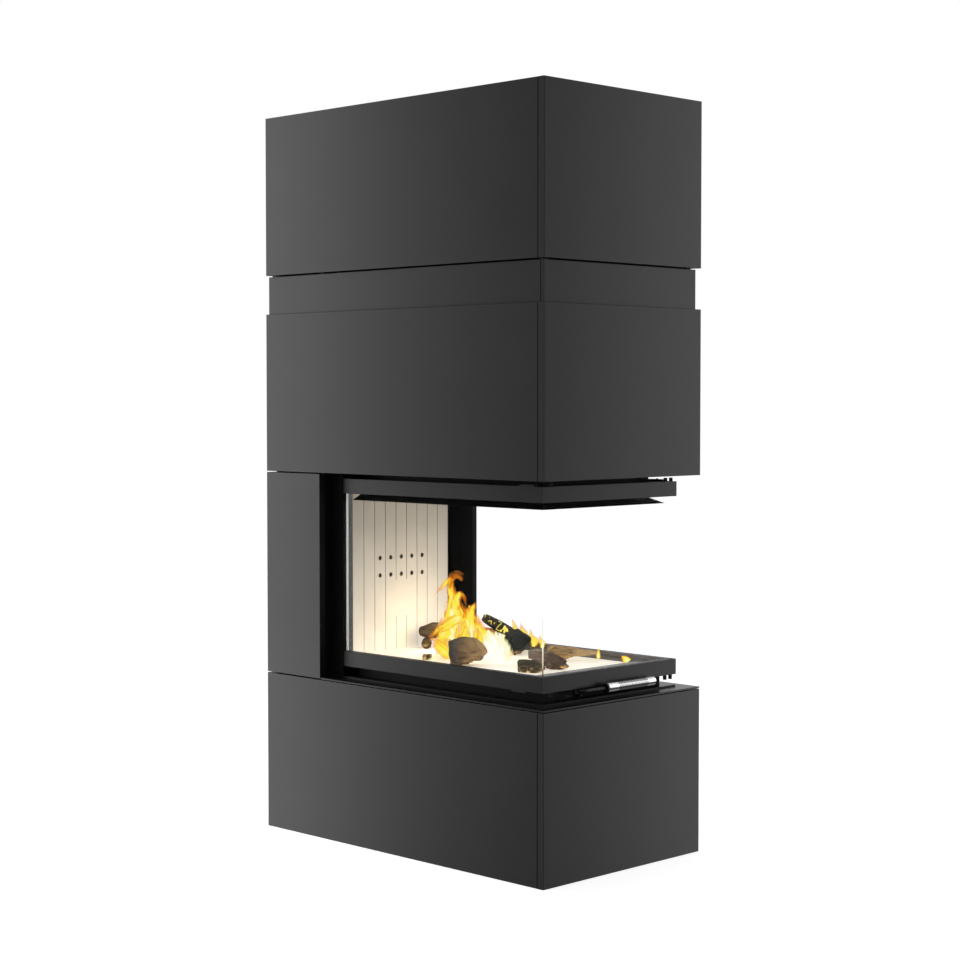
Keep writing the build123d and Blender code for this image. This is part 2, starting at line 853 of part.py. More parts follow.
def dome_solid(thinner, low, high, mode=Mode.ADD):
    """The dome's outer form, or the hollow that leaves walls this thick."""
    length = dome_front_x - end_wall_x - 2 * thinner
    width = 2 * dome_half - 2 * thinner
    with BuildSketch(Plane.XY.offset(low)) as foot:
        with Locations((flue_x, 0)):
            Rectangle(length, width)
    extrude(foot.sketch, amount=dome_shoulder - low, mode=mode)
    with BuildSketch(Plane.XY.offset(dome_shoulder)) as shoulder:
        with Locations((flue_x, 0)):
            Rectangle(length, width)
    with BuildSketch(Plane.XY.offset(high)) as top:
        with Locations((flue_x, 0)):
            Rectangle(dome_top_length - 2 * thinner, dome_top_width - 2 * thinner)
    loft((shoulder.sketch.face(), top.sketch.face()), mode=mode)


with BuildPart() as smoke_dome:
    dome_solid(0, dome_low, dome_top)
    dome_solid(dome_wall, dome_low - overrun, dome_top - dome_wall, Mode.SUBTRACT)
    post(flue_x, 0, (dome_top - dome_wall - overrun, dome_top + overrun), flue_radius, Mode.SUBTRACT)
write(smoke_dome, "smoke_dome")

with BuildPart() as flue_collar:
    post(flue_x, 0, (dome_top, dome_top + flue_length), flue_radius + flue_wall)
    post(flue_x, 0, (dome_top - overrun, dome_top + flue_length + overrun), flue_radius, Mode.SUBTRACT)
write(flue_collar, "flue_collar")

# Air skirt behind the upper bars: a sloped lip on three sides with a flange on the dome
skirt_low = dome_low - skirt_drop
with BuildPart() as air_skirt:
    for thinner, mode in ((0, Mode.ADD), (skirt_run, Mode.SUBTRACT)):
        for z, inset in ((skirt_low, skirt_inset), (dome_low, dome_inset - skirt_flange_thickness)):
            with BuildSketch(Plane.XY.offset(z)):
                with Locations((flue_x, 0)):
                    Rectangle(
                        2 * (end_at(inset + thinner) - flue_x), 2 * side_at(inset + thinner)
                    )
        loft(mode=mode)
    with BuildSketch(Plane.XY.offset(dome_low)):
        with Locations((flue_x, 0)):
            flange_inset = dome_inset - skirt_flange_thickness
            Rectangle(2 * (end_at(flange_inset) - flue_x), 2 * side_at(flange_inset))
            Rectangle(2 * (dome_front_x - flue_x), 2 * dome_half, mode=Mode.SUBTRACT)
    extrude(amount=skirt_flange)
    block(
        (-half_length, door_wall_x + skirt_end_gap),
        (-half_width, half_width),
        (skirt_low - overrun, dome_low + skirt_flange + overrun),
        Mode.SUBTRACT,
    )
write(air_skirt, "air_skirt")

# Baffle slab on two bars inside the dome
baffle_low = dome_low + baffle_rise
inner_half = dome_half - dome_wall
baffle_x = (end_wall_x + dome_wall, dome_front_x - dome_wall - baffle_end_gap)
with BuildPart() as baffle_slab:
    baffle_half = inner_half - baffle_side_gap
    block(baffle_x, (-baffle_half, baffle_half), (baffle_low, baffle_low + baffle_thickness))
write(baffle_slab, "baffle_slab")

with BuildPart() as baffle_bars:
    quarter = (baffle_x[1] - baffle_x[0]) / 4
    for x in (baffle_x[0] + quarter, baffle_x[1] - quarter):
        with BuildSketch(Plane.XZ.offset(-inner_half)):
            with Locations((x, baffle_low - baffle_bar_radius)):
                Circle(baffle_bar_radius)
        extrude(amount=2 * inner_half)
write(baffle_bars, "baffle_bars")

# Pulley bridge on the crown's lower rails, with a fork and an axle for each pulley
bridge_low = crown_low + rail_height
bridge_top = bridge_low + bridge_height
lift_y = side_at(lift_inset)
ear_inner = pulley_width / 2 + ear_gap
with BuildPart() as pulley_bridge:
    block(
        (pulley_x - bridge_width / 2, pulley_x + bridge_width / 2),
        (-rail_outer, rail_outer),
        (bridge_low, bridge_top),
    )
    for way in (-1, 1):
        for face in (-ear_inner - ear_thickness, ear_inner):
            block(
                (pulley_x - ear_width / 2, pulley_x + ear_width / 2),
                (way * lift_y + face, way * lift_y + face + ear_thickness),
                (bridge_top + weld_gap, pulley_z + ear_above_axle),
            )
        with BuildSketch(Plane.XZ.offset(-way * lift_y - ear_inner - ear_thickness - overrun)):
            with Locations((pulley_x, pulley_z)):
                Circle(axle_radius + axle_play)
        extrude(amount=2 * (ear_inner + ear_thickness + overrun), mode=Mode.SUBTRACT)
        axle_half = ear_inner + ear_thickness + axle_overhang
        with BuildSketch(Plane.XZ.offset(-way * lift_y - axle_half)):
            with Locations((pulley_x, pulley_z)):
                Circle(axle_radius)
        extrude(amount=2 * axle_half)
write(pulley_bridge, "pulley_bridge")

# Pulleys: a grooved wheel on each axle
rim_radius = pulley_radius + pulley_flange
groove_floor = pulley_radius - cable_radius - pulley_seat
for side, way in sides.items():
    middle = -way * lift_y
    with BuildPart() as pulley:
        with BuildSketch(Plane.XZ.offset(middle - pulley_width / 2)):
            with Locations((pulley_x, pulley_z)):
                Circle(rim_radius)
                Circle(axle_radius + axle_play, mode=Mode.SUBTRACT)
        extrude(amount=pulley_width)
        with BuildSketch(Plane.XZ.offset(middle - pulley_groove / 2)):
            with Locations((pulley_x, pulley_z)):
                Circle(rim_radius + overrun)
                Circle(groove_floor, mode=Mode.SUBTRACT)
        extrude(amount=pulley_groove, mode=Mode.SUBTRACT)
    write(pulley, f"pulley_{side}")

# Logs: octagonal bars on the bed, one across the two chocks and one across the two blocks
def log(middle, length, half, taper, turn, dip=0):
    """An octagonal bar round a middle point, level or dipping, thinner at its far end."""
    flat = math.cos(dip)
    heading = Vector(math.cos(turn) * flat, math.sin(turn) * flat, -math.sin(dip))
    across = Vector(-math.sin(turn), math.cos(turn), 0)
    sections = []
    for place, size in ((-length / 2, half), (length / 2, half * taper)):
        with BuildSketch(Plane(origin=middle + heading * place, x_dir=across, z_dir=heading)) as section:
            RegularPolygon(size, log_sides, major_radius=False, rotation=180 / log_sides)
        sections.append(section.sketch.face())
    loft(sections)


def bed_place(name):
    """Where a bed log's middle stands on the bed, with its half thickness."""
    x_share, y_share, _, half_share, _, _ = bed_log_shares[name]
    return lining_x + x_share * bed_length, y_share * rim_inner_half, half_share * log_half


with BuildPart() as logs:
    for name, shares in bed_log_shares.items():
        x, y, half = bed_place(name)
        _, _, length_share, _, taper, turn = shares
        log(Vector(x, y, bed_top + half), length_share * log_length, half, taper, math.radians(turn))

    # The log across the chocks lies level
    left_x, left_y, chock_half = bed_place("chock_left")
    right_x, right_y, _ = bed_place("chock_right")
    length_share, half_share, taper = chock_log_shares
    half = half_share * log_half
    rise = 2 * chock_half + half + log_play
    middle = Vector((left_x + right_x) / 2, (left_y + right_y) / 2, bed_top + rise)
    log(middle, length_share * log_length, half, taper, math.radians(chock_log_turn))

    # The log across the blocks dips from the high block's edge to the low block's far edge
    high_x, high_y, high_half = bed_place("block_high")
    low_x, low_y, low_half = bed_place("block_low")
    length_share, half_share, taper = top_log_shares
    half = half_share * log_half
    span = math.hypot(low_x - high_x, low_y - high_y)
    flat_share = math.tan(math.pi / log_sides)
    high_edge = high_half * flat_share
    run = span + (low_half - high_half) * flat_share
    dip = math.atan2(2 * (high_half - low_half), run)
    rise = 2 * high_half - (span / 2 - high_edge) * math.tan(dip) + (half + log_play) / math.cos(dip)
    middle = Vector((high_x + low_x) / 2, (high_y + low_y) / 2, bed_top + rise)
    turn = math.atan2(low_y - high_y, low_x - high_x)
    log(middle, length_share * log_length, half, taper, turn, dip)
write(logs, "logs")

# Lift cables: up from the carriage, over the pulley and down into the counterweight
with BuildPart() as lift_cables:
    for way in (-1, 1):
        y = way * lift_y
        with BuildLine() as cable_path:
            Line((guide_x, y, upper_bar_top), (guide_x, y, pulley_z))
            ThreePointArc(
                (guide_x, y, pulley_z), (pulley_x, y, pulley_z + pulley_radius), (weight_x, y, pulley_z)
            )
            Line((weight_x, y, pulley_z), (weight_x, y, weight_top - cable_grip))
        with BuildSketch(Plane.XY.offset(upper_bar_top)):
            with Locations((guide_x, y)):
                Circle(cable_radius)
        sweep(path=cable_path.wires()[0])
write(lift_cables, "lift_cables")

for side, way in sides.items():
    with BuildPart() as counterweight:
        block(
            (weight_x - weight_width / 2, weight_x + weight_width / 2),
            (way * lift_y - weight_thickness / 2, way * lift_y + weight_thickness / 2),
            (weight_top - weight_height, weight_top),
        )
        chamfer(counterweight.edges().filter_by(Axis.Z), bend_radius)
        post(
            weight_x,
            way * lift_y,
            (weight_top - weight_height - overrun, weight_top + overrun),
            cable_radius + cable_bore_play,
            Mode.SUBTRACT,
        )
    write(counterweight, f"counterweight_{side}")
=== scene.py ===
"""A three-sided fireplace insert with a lifting glass door, dressed and lit for its picture."""

import json
import logging
import math
import random
from collections.abc import Callable, Iterable
from dataclasses import dataclass, field
from enum import Enum

import bmesh
import bpy
from mathutils import Matrix, Vector, noise

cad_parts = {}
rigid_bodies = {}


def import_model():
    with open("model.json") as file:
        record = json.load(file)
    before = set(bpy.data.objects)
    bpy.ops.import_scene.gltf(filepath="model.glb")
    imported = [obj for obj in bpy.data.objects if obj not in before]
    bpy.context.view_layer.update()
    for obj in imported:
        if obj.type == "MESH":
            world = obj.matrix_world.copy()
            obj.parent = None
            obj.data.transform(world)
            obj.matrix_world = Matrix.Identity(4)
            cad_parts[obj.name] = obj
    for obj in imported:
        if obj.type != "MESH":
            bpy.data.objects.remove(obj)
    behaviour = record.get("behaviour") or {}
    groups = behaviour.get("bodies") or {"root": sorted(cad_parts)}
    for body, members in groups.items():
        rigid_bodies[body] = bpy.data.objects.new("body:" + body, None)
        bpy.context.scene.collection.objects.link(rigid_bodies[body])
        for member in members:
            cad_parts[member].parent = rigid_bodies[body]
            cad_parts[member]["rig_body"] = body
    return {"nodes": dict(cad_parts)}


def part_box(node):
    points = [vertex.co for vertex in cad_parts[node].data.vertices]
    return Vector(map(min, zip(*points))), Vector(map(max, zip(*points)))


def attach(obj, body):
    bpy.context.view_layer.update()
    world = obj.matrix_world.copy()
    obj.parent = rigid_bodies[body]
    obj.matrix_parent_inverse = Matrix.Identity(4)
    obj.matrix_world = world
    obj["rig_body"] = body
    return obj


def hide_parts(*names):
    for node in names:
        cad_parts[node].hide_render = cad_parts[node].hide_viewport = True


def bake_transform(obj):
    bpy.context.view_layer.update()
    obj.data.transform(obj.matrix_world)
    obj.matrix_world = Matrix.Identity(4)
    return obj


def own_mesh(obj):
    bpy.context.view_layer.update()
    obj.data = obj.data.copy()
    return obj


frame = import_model()
LOG = logging.getLogger("fireplace")
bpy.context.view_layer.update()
Colour = tuple[float, float, float]
Point = tuple[float, float, float]
UP = Vector((0, 0, 1))


class Body(Enum):
    """The rigid bodies that new pieces ride on."""

    STOVE = "stove"
    DOOR = "lift_door"
    HANDLE = "door_handle"


class Bark(Enum):
    """Colours of the logs' skins, from fresh to burnt; FIRELIT is painted fire light."""

    BROWN = (0.062, 0.043, 0.020)
    GREY = (0.050, 0.037, 0.030)
    # Painted fire light: a skin colour brightened where the fire lights a log.
    FIRELIT = (0.300, 0.190, 0.090)
    PALE = (0.205, 0.160, 0.125)
    UMBER = (0.080, 0.050, 0.032)
    LIGHT = (0.320, 0.215, 0.095)
    STRAW = (0.500, 0.340, 0.170)
    OLIVE = (0.060, 0.050, 0.028)
    CHARCOAL = (0.030, 0.025, 0.025)
    BLUE_BLACK = (0.014, 0.018, 0.020)


class Shader:
    """A node tree being wired: makes nodes, sets their values and links them."""

    def __init__(self, tree: bpy.types.NodeTree) -> None:
        """Start on an empty tree.

        Args:
            tree: The tree to fill.
        """
        self.tree = tree
        tree.nodes.clear()

    def add(self, kind: str, settings: dict | None = None, **inputs: object) -> bpy.types.Node:
        """Make a node.

        Args:
            kind: The node's type, without the common prefix.
            settings: Properties of the node itself.
            inputs: Socket values or output sockets to link, with _ for a space.

        Returns:
            The new node.
        """
        made = self.tree.nodes.new(f"ShaderNode{kind}")
        for name, value in (settings or {}).items():
            setattr(made, name, value)
        for name, value in inputs.items():
            self.feed(made.inputs[name.replace("_", " ")], value)
        return made

    def feed(self, socket: bpy.types.NodeSocket, value: object) -> None:
        """Link an output socket to this input, or set its value."""
        if isinstance(value, bpy.types.NodeSocket):
            self.tree.links.new(value, socket)
        else:
            socket.default_value = value

    def maths(self, operation: str, *values: object, clamp: bool = False) -> bpy.types.NodeSocket:
        """Put numbers or sockets through a maths node.

        Args:
            operation: The node's operation.
            values: Its inputs in order.
            clamp: Whether the result stays between 0 and 1.

        Returns:
            The result's socket.
        """
        made = self.add("Math", {"operation": operation, "use_clamp": clamp})
        for socket, value in zip(made.inputs, values):
            self.feed(socket, value)
        return made.outputs[0]

    def ramp(self, value: bpy.types.NodeSocket, stops: Iterable[tuple[float, Colour]]) -> bpy.types.NodeSocket:
        """Turn a value into a colour.

        Args:
            value: The socket that drives the ramp.
            stops: Positions and colours, in order.

        Returns:
            The colour's socket.
        """
        made = self.add("ValToRGB", Fac=value)
        stops = list(stops)
        elements = made.color_ramp.elements
        while len(elements) < len(stops):
            elements.new(1.0)
        for element, (position, colour) in zip(elements, stops):
            element.position = position
            element.color = (*colour, 1.0)
        return made.outputs["Color"]

    def mix(self, factor: object, first: object, second: object, blend: str = "MIX") -> bpy.types.NodeSocket:
        """Mix two colours and return the result's socket."""
        made = self.add("Mix", {"data_type": "RGBA", "blend_type": blend})
        self.feed(made.inputs[0], factor)
        self.feed(made.inputs[6], first)
        self.feed(made.inputs[7], second)
        return made.outputs[2]

    def noise(self, scale: float, detail: float = 3.0, stretch: Point = (1, 1, 1)) -> bpy.types.NodeSocket:
        """Noise over the object's own coordinates.

        Args:
            scale: Features per metre.
            detail: How many octaves.
            stretch: The coordinates' scale along each axis.

        Returns:
            The noise value's socket.
        """
        place = self.add("TexCoord").outputs["Object"]
        mapped = self.add("Mapping", Vector=place, Scale=stretch).outputs[0]
        return self.add("TexNoise", Vector=mapped, Scale=scale, Detail=detail).outputs[0]


def rgba(colour: Colour) -> tuple[float, float, float, float]:
    """The colour with full opacity."""
    return (*colour, 1.0)


def surface_group() -> bpy.types.ShaderNodeTree:
    """The shared effect of every plain surface: mottled colour, uneven gloss and fine grain.

    Returns:
        The node group, built on the first call.
    """
    name = "mottle_and_grain"
    if name in bpy.data.node_groups:
        return bpy.data.node_groups[name]
    group = bpy.data.node_groups.new(name, "ShaderNodeTree")
    colour_in = group.interface.new_socket("Colour", in_out="INPUT", socket_type="NodeSocketColor")
    colour_in.default_value = (0.5, 0.5, 0.5, 1.0)
    for label, value in (("Roughness", 0.5), ("Mottle", 0.1), ("Grain scale", 400.0), ("Grain depth", 0.02)):
        socket = group.interface.new_socket(label, in_out="INPUT", socket_type="NodeSocketFloat")
        socket.default_value = value
    group.interface.new_socket("Colour", in_out="OUTPUT", socket_type="NodeSocketColor")
    group.interface.new_socket("Roughness", in_out="OUTPUT", socket_type="NodeSocketFloat")
    group.interface.new_socket("Normal", in_out="OUTPUT", socket_type="NodeSocketVector")
    shader = Shader(group)
    source = group.nodes.new("NodeGroupInput").outputs
    result = group.nodes.new("NodeGroupOutput").inputs
    cloud = shader.noise(9.0, 4.0)
    swing = shader.maths("SUBTRACT", cloud, 0.5)
    gain = shader.maths("MULTIPLY_ADD", swing, source["Mottle"], 1.0)
    brightness = shader.add("HueSaturation", Color=source["Colour"], Value=gain)
    shader.feed(result["Colour"], brightness.outputs[0])
    uneven = shader.maths("MULTIPLY", swing, source["Mottle"])
    shader.feed(result["Roughness"], shader.maths("ADD", source["Roughness"], uneven, clamp=True))
    place = shader.add("TexCoord").outputs["Object"]
    fine = shader.add("TexNoise", Vector=place, Scale=source["Grain scale"], Detail=2.0).outputs[0]
    bump = shader.add("Bump", Height=fine, Strength=source["Grain depth"], Distance=0.001)
    shader.feed(result["Normal"], bump.outputs[0])
    return group


def new_material(name: str) -> tuple[bpy.types.Material, Shader]:
    """An empty material with nodes.

    Args:
        name: The material's name.

    Returns:
        The material and its node tree's wiring helper.
    """
    material = bpy.data.materials.new(name)
    material.use_nodes = True
    return material, Shader(material.node_tree)


@dataclass(frozen=True)
class Coat:
    """A paint, bare metal or ceramic with mottled colour and fine grain, and an optional painted glow of its own
    colour.
    """

    name: str
    colour: Colour
    roughness: float
    specular: float = 0.5
    metallic: float = 0.0
    mottle: float = 0.1
    grain_scale: float = 500.0
    grain_depth: float = 0.05
    # A glow above 0 emits the surface's own colour: a painted glow on a piece that no lamp lights.
    glow: float = 0.0

    def build(self) -> bpy.types.Material:
        """Make the material."""
        material, shader = new_material(self.name)
        surface = shader.add("Group", {"node_tree": surface_group()})
        for label, value in (
            ("Colour", rgba(self.colour)),
            ("Roughness", self.roughness),
            ("Mottle", self.mottle),
            ("Grain scale", self.grain_scale),
            ("Grain depth", self.grain_depth),
        ):
            surface.inputs[label].default_value = value
        body = shader.add(
            "BsdfPrincipled",
            Base_Color=surface.outputs["Colour"],
            Roughness=surface.outputs["Roughness"],
            Normal=surface.outputs["Normal"],
            Metallic=self.metallic,
            Specular_IOR_Level=self.specular,
            Emission_Color=surface.outputs["Colour"],
            Emission_Strength=self.glow,
        )
        shader.add("OutputMaterial", Surface=body.outputs[0])
        return material


@dataclass(frozen=True)
class BoxPaintedLight:
    """Black paint with painted light inside one box: a paler colour and an optional painted glow where it faces the
    fire or the open door.
    """

    name: str
    colour: Colour
    lit: Colour
    low: Point
    high: Point
    roughness: float = 0.35
    specular: float = 0.11
    glow: float = 0.0

    def build(self) -> bpy.types.Material:
        """Make the material."""
        material, shader = new_material(self.name)
        split = shader.add("SeparateXYZ", Vector=shader.add("TexCoord").outputs["Object"]).outputs
        inside = 1.0
        for axis, low, high in zip("XYZ", self.low, self.high):
            over = shader.maths("GREATER_THAN", split[axis], low)
            under = shader.maths("LESS_THAN", split[axis], high)
            inside = shader.maths("MULTIPLY", inside, shader.maths("MULTIPLY", over, under))
        # Painted light: inside the box the colour turns to the lit colour.
        colour = shader.mix(inside, rgba(self.colour), rgba(self.lit))
        cloud = shader.maths("MULTIPLY_ADD", shader.noise(9.0, 4.0), 0.2, 0.9)
        mottled = shader.add("HueSaturation", Color=colour, Value=cloud).outputs[0]
        # Painted glow: inside the box the lit colour also emits.
        glowing = shader.mix(inside, rgba((0.0, 0.0, 0.0)), rgba(self.lit))
        body = shader.add(
            "BsdfPrincipled",
            Base_Color=mottled,
            Roughness=self.roughness,
            Specular_IOR_Level=self.specular,
            Emission_Color=glowing,
            Emission_Strength=self.glow,
        )
        shader.add("OutputMaterial", Surface=body.outputs[0])
        return material


@dataclass(frozen=True)
class EdgeGlint:
    """A painted glint: the fire caught in the panes' corner edge close to the bed, painted as a glowing strip."""

    name: str
    low: float
    high: float

    def build(self) -> bpy.types.Material:
        """Make the material."""
        material, shader = new_material(self.name)
        place = shader.add("TexCoord").outputs["Object"]
        span = shader.add("MapRange", From_Min=self.low, From_Max=self.high)
        shader.feed(span.inputs["Value"], shader.add("SeparateXYZ", Vector=place).outputs["Z"])
        # Painted glint: dark at the strip's foot, warm and then white higher up, fading out towards its top.
        stops = (
            (0.0, (0.05, 0.035, 0.02)),
            (0.16, (0.25, 0.18, 0.11)),
            (0.30, (0.75, 0.62, 0.44)),
            (0.55, (0.85, 0.74, 0.52)),
            (0.72, (1.0, 1.0, 0.88)),
            (0.85, (1.0, 1.0, 1.0)),
        )
        fade = ((0.0, (1.0, 1.0, 1.0)), (0.72, (1.0, 1.0, 1.0)), (0.92, (0.0, 0.0, 0.0)))
        body = shader.add(
            "BsdfPrincipled",
            Base_Color=rgba((0.0, 0.0, 0.0)),
            Roughness=1.0,
            Specular_IOR_Level=0.0,
            Alpha=shader.ramp(span.outputs[0], fade),
            Emission_Color=shader.ramp(span.outputs[0], stops),
            Emission_Strength=1.0,
        )
        shader.add("OutputMaterial", Surface=body.outputs[0])
        return material


@dataclass(frozen=True)
class Pane:
    """Clear ceramic glass that lets lamps light what is behind it."""

    name: str
    colour: Colour = (0.998, 1.0, 1.0)
    index: float = 1.06

    def build(self) -> bpy.types.Material:
        """Make the material."""
        material, shader = new_material(self.name)
        body = shader.add(
            "BsdfPrincipled",
            Base_Color=rgba(self.colour),
            Roughness=0.0,
            IOR=self.index,
            Transmission_Weight=1.0,
        )
        clear = shader.add("BsdfTransparent", Color=rgba(self.colour))
        lamp_ray = shader.add("LightPath").outputs["Is Shadow Ray"]
        mixed = shader.add("MixShader", Fac=lamp_ray)
        shader.feed(mixed.inputs[1], body.outputs[0])
        shader.feed(mixed.inputs[2], clear.outputs[0])
        shader.add("OutputMaterial", Surface=mixed.outputs[0])
        return material


@dataclass(frozen=True)
class Firebrick:
    """Pale fireclay with painted fire light: paler towards the fire bed with a warm painted glow there, painted shade
    in its grooves and holes, and a grey painted glow on its end sides.
    """

    name: str
    top_colour: Colour
    low_colour: Colour
    low: float
    high: float
    glow: float
    face: float | None = None
    end: float = 1.0
    sink: float = 0.0026

    def build(self) -> bpy.types.Material:
        """Make the material."""
        material, shader = new_material(self.name)
        place = shader.add("TexCoord").outputs["Object"]
        split = shader.add("SeparateXYZ", Vector=place).outputs
        cloud = shader.noise(14.0, 4.0)
        uneven = shader.maths("MULTIPLY_ADD", cloud, 0.08, -0.04)
        span = shader.add("MapRange", From_Min=self.low, From_Max=self.high)
        shader.feed(span.inputs["Value"], shader.maths("ADD", split["Z"], uneven))
        # Painted fire light: the colour runs from low_colour at the bed to top_colour higher up, and the paler low end
        # stands in for the fire's light.
        colour = shader.ramp(span.outputs[0], ((0.0, self.low_colour), (1.0, self.top_colour)))
        # Painted glow: a warm emission, strongest at the bed, that fades out higher up.
        fire_glow = shader.ramp(
            span.outputs[0],
            ((0.0, (1.0, 0.96, 0.84)), (0.30, (0.24, 0.21, 0.16)), (0.6, (0.03, 0.025, 0.02)), (1.0, (0.0, 0.0, 0.0))),
        )
        if self.face is not None:
            # Painted shade: colour and glow darken where the surface sinks behind its face, in the grooves and holes.
            depth = shader.add("MapRange", From_Min=self.face - self.sink, From_Max=self.face - 0.0006)
            shader.feed(depth.inputs["Value"], split["X"])
            shade = shader.ramp(depth.outputs[0], ((0.0, (0.22, 0.20, 0.17)), (1.0, (1.0, 1.0, 1.0))))
            colour = shader.mix(1.0, colour, shade, "MULTIPLY")
            fire_glow = shader.mix(1.0, fire_glow, shade, "MULTIPLY")
            # Painted glow: the end sides, past the end value, get a grey emission.
            end = shader.maths("GREATER_THAN", shader.maths("ABSOLUTE", split["Y"]), self.end)
            fire_glow = shader.mix(end, fire_glow, rgba((0.24, 0.235, 0.22)))
        fine = shader.noise(650.0, 3.0)
        bump = shader.add("Bump", Height=fine, Strength=0.15, Distance=0.001)
        body = shader.add(
            "BsdfPrincipled",
            Base_Color=colour,
            Roughness=0.85,
            Specular_IOR_Level=0.3,
            Normal=bump.outputs[0],
            Emission_Color=fire_glow,
            Emission_Strength=self.glow,
        )
        shader.add("OutputMaterial", Surface=body.outputs[0])
        return material


@dataclass(frozen=True)
class BurningWood:
    """Bark and split faces in each log's own tone, streaked, charred in patches, glowing low down."""

    name: str
    tone: str = "bark_tone"
    bed: float = 0.466

    def build(self) -> bpy.types.Material:
        """Make the material."""
        material, shader = new_material(self.name)
        skin = shader.add("Attribute", {"attribute_name": self.tone}).outputs
        tone = skin["Color"]
        wrap = shader.add("TexCoord").outputs["UV"]
        fibres = shader.add("Mapping", Vector=wrap, Scale=(7.0, 4.0, 1.0)).outputs[0]
        streak = shader.add("TexNoise", Vector=fibres, Scale=2.0, Detail=6.0).outputs[0]
        patch = shader.noise(30.0, 5.0)
        light = shader.ramp(streak, ((0.34, (0.38, 0.35, 0.32)), (0.46, (0.9, 0.9, 0.9)), (0.68, (1.35, 1.32, 1.28))))
        grained = shader.mix(1.0, tone, light, "MULTIPLY")
        charred = shader.ramp(patch, ((0.57, (0.0, 0.0, 0.0)), (0.66, (0.75, 0.75, 0.75))))
        colour = shader.mix(charred, grained, rgba((0.014, 0.011, 0.009)))
        bump = shader.add("Bump", Height=streak, Strength=0.5, Distance=0.003)
        place = shader.add("TexCoord").outputs["Object"]
        height = shader.add("SeparateXYZ", Vector=place).outputs["Z"]
        near_bed = shader.add("MapRange", From_Min=self.bed, From_Max=self.bed + 0.016)
        shader.feed(near_bed.inputs["Value"], height)
        low = shader.maths("SUBTRACT", 1.0, near_bed.outputs[0], clamp=True)
        crack = shader.ramp(shader.noise(60.0, 3.0), ((0.50, (0.0, 0.0, 0.0)), (0.60, (1.0, 0.55, 0.16))))
        ember = shader.mix(low, rgba((0, 0, 0)), crack)
        veins = shader.add("Mapping", Vector=wrap, Scale=(3.0, 14.0, 1.0)).outputs[0]
        swirl = shader.add("TexNoise", Vector=veins, Scale=1.0, Detail=2.0).outputs[0]
        off_vein = shader.maths("ABSOLUTE", shader.maths("SUBTRACT", swirl, 0.5))
        vein = shader.maths("MULTIPLY_ADD", off_vein, -42.0, 1.5, clamp=True)
        alight = shader.ramp(shader.noise(45.0, 1.0), ((0.50, (0.0, 0.0, 0.0)), (0.55, (1.0, 1.0, 1.0))))
        burning = shader.maths("MULTIPLY", shader.maths("MULTIPLY", vein, skin["Alpha"]), alight)
        ember = shader.mix(burning, ember, rgba((1.0, 0.84, 0.13)))
        body = shader.add(
            "BsdfPrincipled",
            Base_Color=colour,
            Roughness=0.75,
            Specular_IOR_Level=0.3,
            Normal=bump.outputs[0],
            Emission_Color=ember,
            Emission_Strength=1.0,
        )
        shader.add("OutputMaterial", Surface=body.outputs[0])
        return material


@dataclass(frozen=True)
class PaintedReflectionChrome:
    """Chrome with painted reflections: bright and dark bands painted along the bar by height, a painted glow of the
    same colour, and painted shade in its knurl.
    """

    name: str
    low: float
    high: float
    shade: str = "knurl_shade"

    def build(self) -> bpy.types.Material:
        """Make the material."""
        material, shader = new_material(self.name)
        shade = shader.add("Attribute", {"attribute_name": self.shade}).outputs["Color"]
        place = shader.add("TexCoord").outputs["Object"]
        height = shader.add("MapRange", From_Min=self.low, From_Max=self.high)
        shader.feed(height.inputs["Value"], shader.add("SeparateXYZ", Vector=place).outputs["Z"])
        # Painted reflections: dark and bright bands by height stand in for what the bar mirrors.
        dark, bright = (0.005, 0.005, 0.005), (0.52, 0.525, 0.53)
        bands = ((0.06, dark), (0.10, bright), (0.28, bright), (0.32, dark), (0.49, dark), (0.54, bright))
        colour = shader.mix(1.0, shader.ramp(height.outputs[0], bands), shade, "MULTIPLY")
        body = shader.add(
            "BsdfPrincipled",
            Base_Color=colour,
            Roughness=0.15,
            Metallic=1.0,
            # Painted glow: the colour also emits, so the bar stays bright without a lamp in view.
            Emission_Color=colour,
            Emission_Strength=0.30,
        )
        shader.add("OutputMaterial", Surface=body.outputs[0])
        return material


